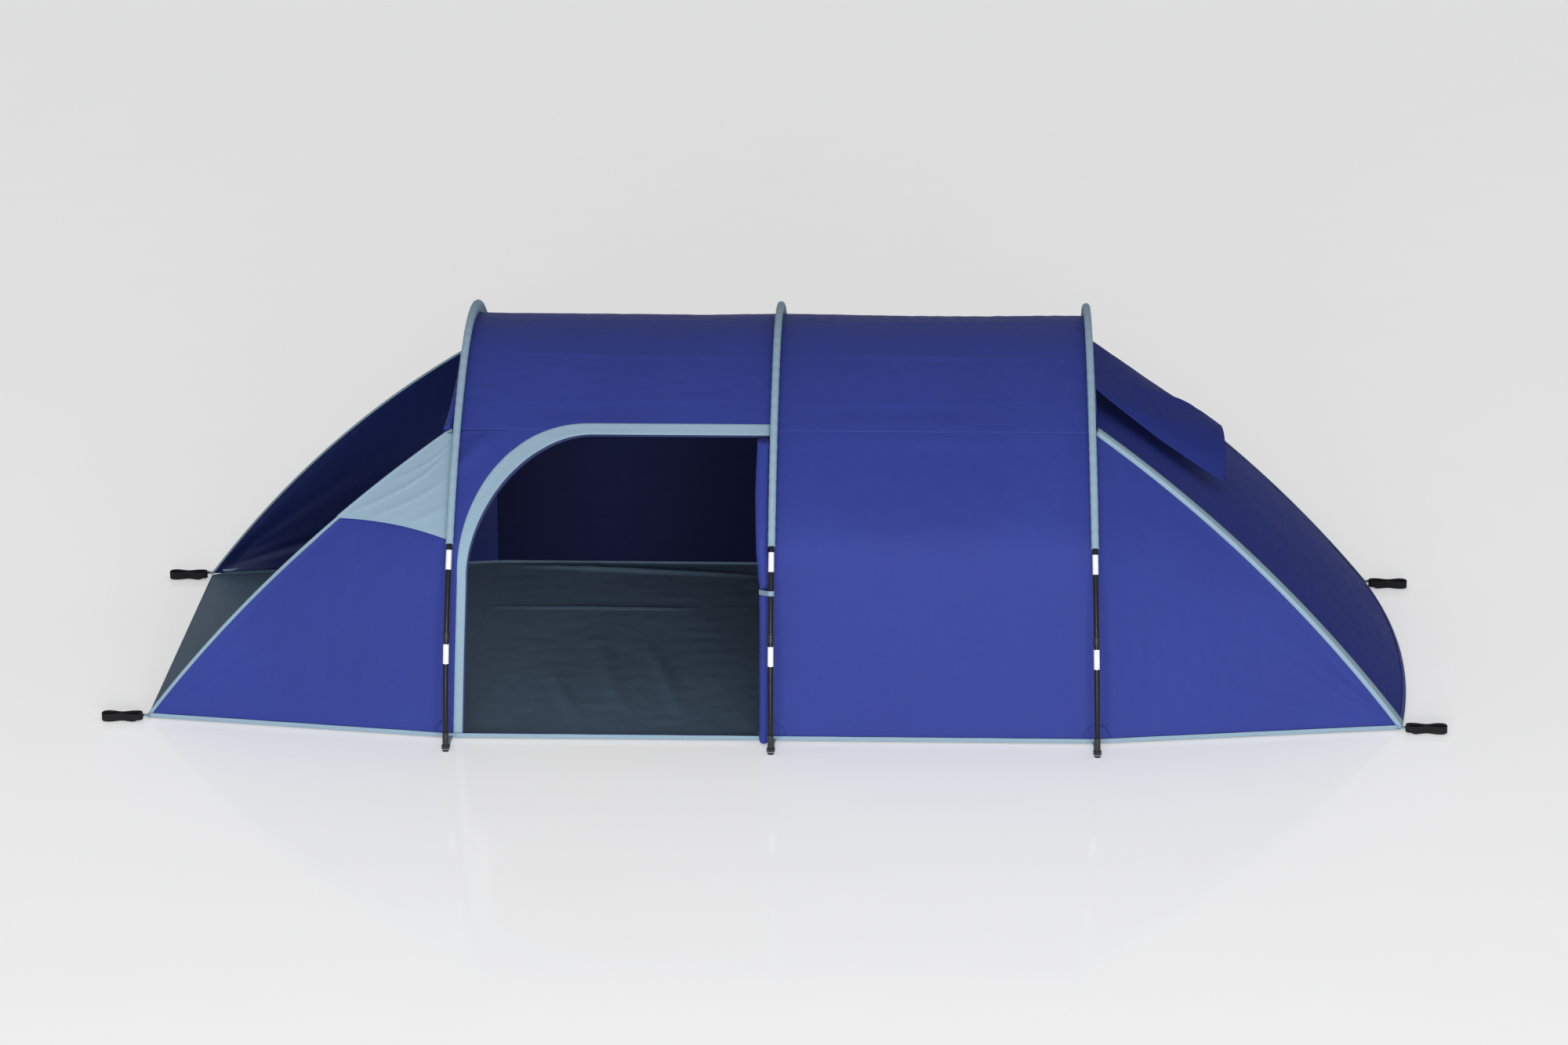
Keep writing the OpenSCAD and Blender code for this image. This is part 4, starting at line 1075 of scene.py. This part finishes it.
def door_tie():
    """Strap round the roll and the middle hoop's pole: two arcs and the straight runs between them."""
    yr, yp = -float(roll_half(TIE_Z)) + 0.0046, -float(arch_half(TIE_Z, 0.0))
    c1, r1 = np.array([ROLL_X + 0.0088, yr]), ROLL_D / 2 * 0.66 + 0.0018
    c2, r2 = np.array([0.0, yp]), 0.0102
    d = c2 - c1
    ang, open_a = math.atan2(d[1], d[0]), math.acos((r1 - r2) / np.linalg.norm(d))

    def arc(centre, r, a0, a1, n):
        return [centre + r * np.array([math.cos(t), math.sin(t)]) for t in np.linspace(a0, a1, n)]

    path = arc(c1, r1, ang + open_a, ang + 2 * math.pi - open_a, 44)
    path += arc(c2, r2, ang - open_a, ang + open_a, 26)
    x, y = np.array(path + path[:1]).T
    rows = []
    for f in np.linspace(-1, 1, 7):
        rows.append(np.column_stack([MID_X + x, y, TIE_Z + 0.0080 * f + 0.30 * (y.mean() - y)]))
    centre = (c1 + c2) / 2
    panel("door_tie_strap", np.stack(rows, 1), WEB, "door_tie", thick=0.0012,
          away=(MID_X + centre[0], centre[1], TIE_Z), offset=1)


door_tie()


# ------------ rolled front door
FRONT_ROLL_W, FRONT_ROLL_H, FRONT_TIES = 0.028, 0.048, ((-0.22, "near"), (0.0, "top"), (0.22, "far"))


def front_roll():
    """The rolled front door under the front hoop, and its three ties."""
    off = -STAND - 0.0015 - FRONT_ROLL_H / 2 - 0.002
    arch = hoop_curve(0.70, 2400, off=off)
    idx = np.where(arch[1] > SEAM_Z - 0.020)[0]
    pick = np.linspace(idx[0], idx[-1], 120).astype(int)
    arch = [v[pick][:, None] for v in arch]
    longest = np.abs(arch[4]).max()

    def place(line, a, grow, skin=0.0):
        """Points round the roll at each point of its line, pinched at the ties."""
        y, z, ny, nz, d = line
        far_out = (np.abs(d) / longest) ** 4
        ca, sa = np.cos(a)[None], np.sin(a)[None]
        flat = (np.abs(ca) ** 4 + np.abs(sa) ** 4) ** -0.125
        fold = (1 + 0.03 * waves(d, a[None] * 0.02, 97, 8, 0.05, 0.3)) * (0.80 + 0.26 * far_out)
        for at, _ in FRONT_TIES:
            fold = fold * (1 - 0.12 * np.exp(-((d - at) / 0.018) ** 2))
        across = (FRONT_ROLL_W / 2 * grow * fold + skin) * ca * flat
        up = (FRONT_ROLL_H / 2 * grow * fold + skin) * sa * flat
        zz = z + nz * up
        return np.stack([hoop_x(0, zz) - 0.008 - 0.026 * far_out + across, y + ny * up, zz], -1)

    away = (HOOPS[0], 0, 0.6)
    pts = place(arch, *spiral(11.4, 28, start=0.14))
    panel("rolled_front_door_cloth", pts, BLUE, "rolled_front_door", thick=0.0007, away=away)
    for at, word in FRONT_TIES:
        k = np.linspace(at - 0.008, at + 0.008, 5)
        line = [np.interp(k, arch[4][:, 0], v[:, 0])[:, None] for v in arch[:4]] + [k[:, None]]
        pts = place(line, np.linspace(0, 2 * np.pi, 60), 1.0, skin=0.0016)
        panel("front_door_tie_" + word, pts, WEB, "front_door_ties", thick=0.001, away=away)


front_roll()


# ------------ collars, frame materials
def collar(i, side, name):
    """Ribbed collar round a leg, above its lower ferrule."""
    z = np.linspace(0.350, 0.374, 37)
    ridge = np.clip(np.cos(2 * np.pi * 3 * (z - 0.350) / 0.024 + np.pi), 0, 1) ** 0.5
    r = 0.0092 + 0.0017 * ridge
    line = np.stack([hoop_x(i, z), side * arch_half(z, 0.0), z], -1)
    a = np.linspace(0, 2 * np.pi, 28, endpoint=False)
    section = np.stack([r[:, None] * np.cos(a), r[:, None] * np.sin(a)], -1)
    obj = tube_object(name, line, section, PLASTIC, up=(1, 0, 0))
    put(obj, replaces=HOOP_NAMES[i] + "_collars")


for side, word in SIDES:
    for i, hoop in enumerate(HOOP_NAMES):
        collar(i, side, f"{hoop}_{word}_collar")

PART_LOOKS = {"_pole": POLE, "_ferrules": SILVER, "_foot_caps": PLASTIC}
FRAME_LOOKS = {hoop + part: mat for hoop in HOOP_NAMES for part, mat in PART_LOOKS.items()}
FRAME_LOOKS |= {"shock_cords": CORD_BLACK, "header_zip_slider": ZIP_METAL, "sill_zip_slider": ZIP_METAL}
for node_name, mat in FRAME_LOOKS.items():
    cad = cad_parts[node_name]
    cad.data.materials.clear()
    cad.data.materials.append(mat)


# ------------ stage and light
FLOOR_SIZE, LAMP_AT, LAMP_AIM = 60.0, (0.5, -14.0, 2.2), Vector((0, 0, 0.5))


def studio_floor():
    """Pale, faintly glossy floor with a slight glow."""
    mat, tree, bsdf = nodes_of("studio_floor")
    fac = noise(tree, node(tree, "ShaderNodeTexCoord"), 3.0, 3.0)
    tree.links.new(ramp(tree, fac, [(0.3, (0.795, 0.795, 0.800)), (0.7, (0.805, 0.805, 0.810))]),
                   bsdf.inputs["Base Color"])
    for key, value in (("Roughness", 0.08), ("IOR", 1.18), ("Emission Color", (1, 1, 1, 1)),
                       ("Emission Strength", 0.30)):
        bsdf.inputs[key].default_value = value
    corners = [(FLOOR_SIZE * x, FLOOR_SIZE * y, 0) for x, y in ((-1, -1), (1, -1), (1, 1), (-1, 1))]
    mesh_object("studio_floor", corners, [(0, 1, 2, 3)], mat, smooth=False)


def light():
    world = bpy.data.worlds.new("studio")
    bpy.context.scene.world = world
    world.use_nodes = True
    background = world.node_tree.nodes["Background"]
    background.inputs["Color"].default_value = (0.50, 0.50, 0.50, 1)
    background.inputs["Strength"].default_value = 1.0
    lamp = bpy.data.lights.new("key", "AREA")
    lamp.shape, lamp.size, lamp.size_y, lamp.energy = "RECTANGLE", 8.0, 3.0, 1600
    key = link(bpy.data.objects.new("key", lamp))
    key.location = LAMP_AT
    key.rotation_euler = (LAMP_AIM - key.location).to_track_quat("-Z", "Y").to_euler()
    bpy.context.scene.view_settings.view_transform = "Standard"


studio_floor()
light()

# ------------ every sheet's flat size
HELD_BY = {
    "roof": ("stretched", ["middle_pole"]), "wall": ("stretched", ["middle_pole"]),
    "sleeve": ("stretched", []), "wing": ("stretched", ["front_pole"]), "rear": ("stretched", ["rear_pole"]),
    "hood": ("hung", ["rear_pole"]), "floor": ("laid", []),
    "rolled_side": ("folded", ["middle_pole"]), "rolled_front": ("folded", ["front_pole"]),
}
tape = bpy.data.objects["side_door_zip_tape"]
for cloth_name, (flat, area) in CLOTHS.items():
    if cloth_name == tape.name:
        continue
    held, rests = next((v for k, v in HELD_BY.items() if k in cloth_name), ("stretched", []))
    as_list(rests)
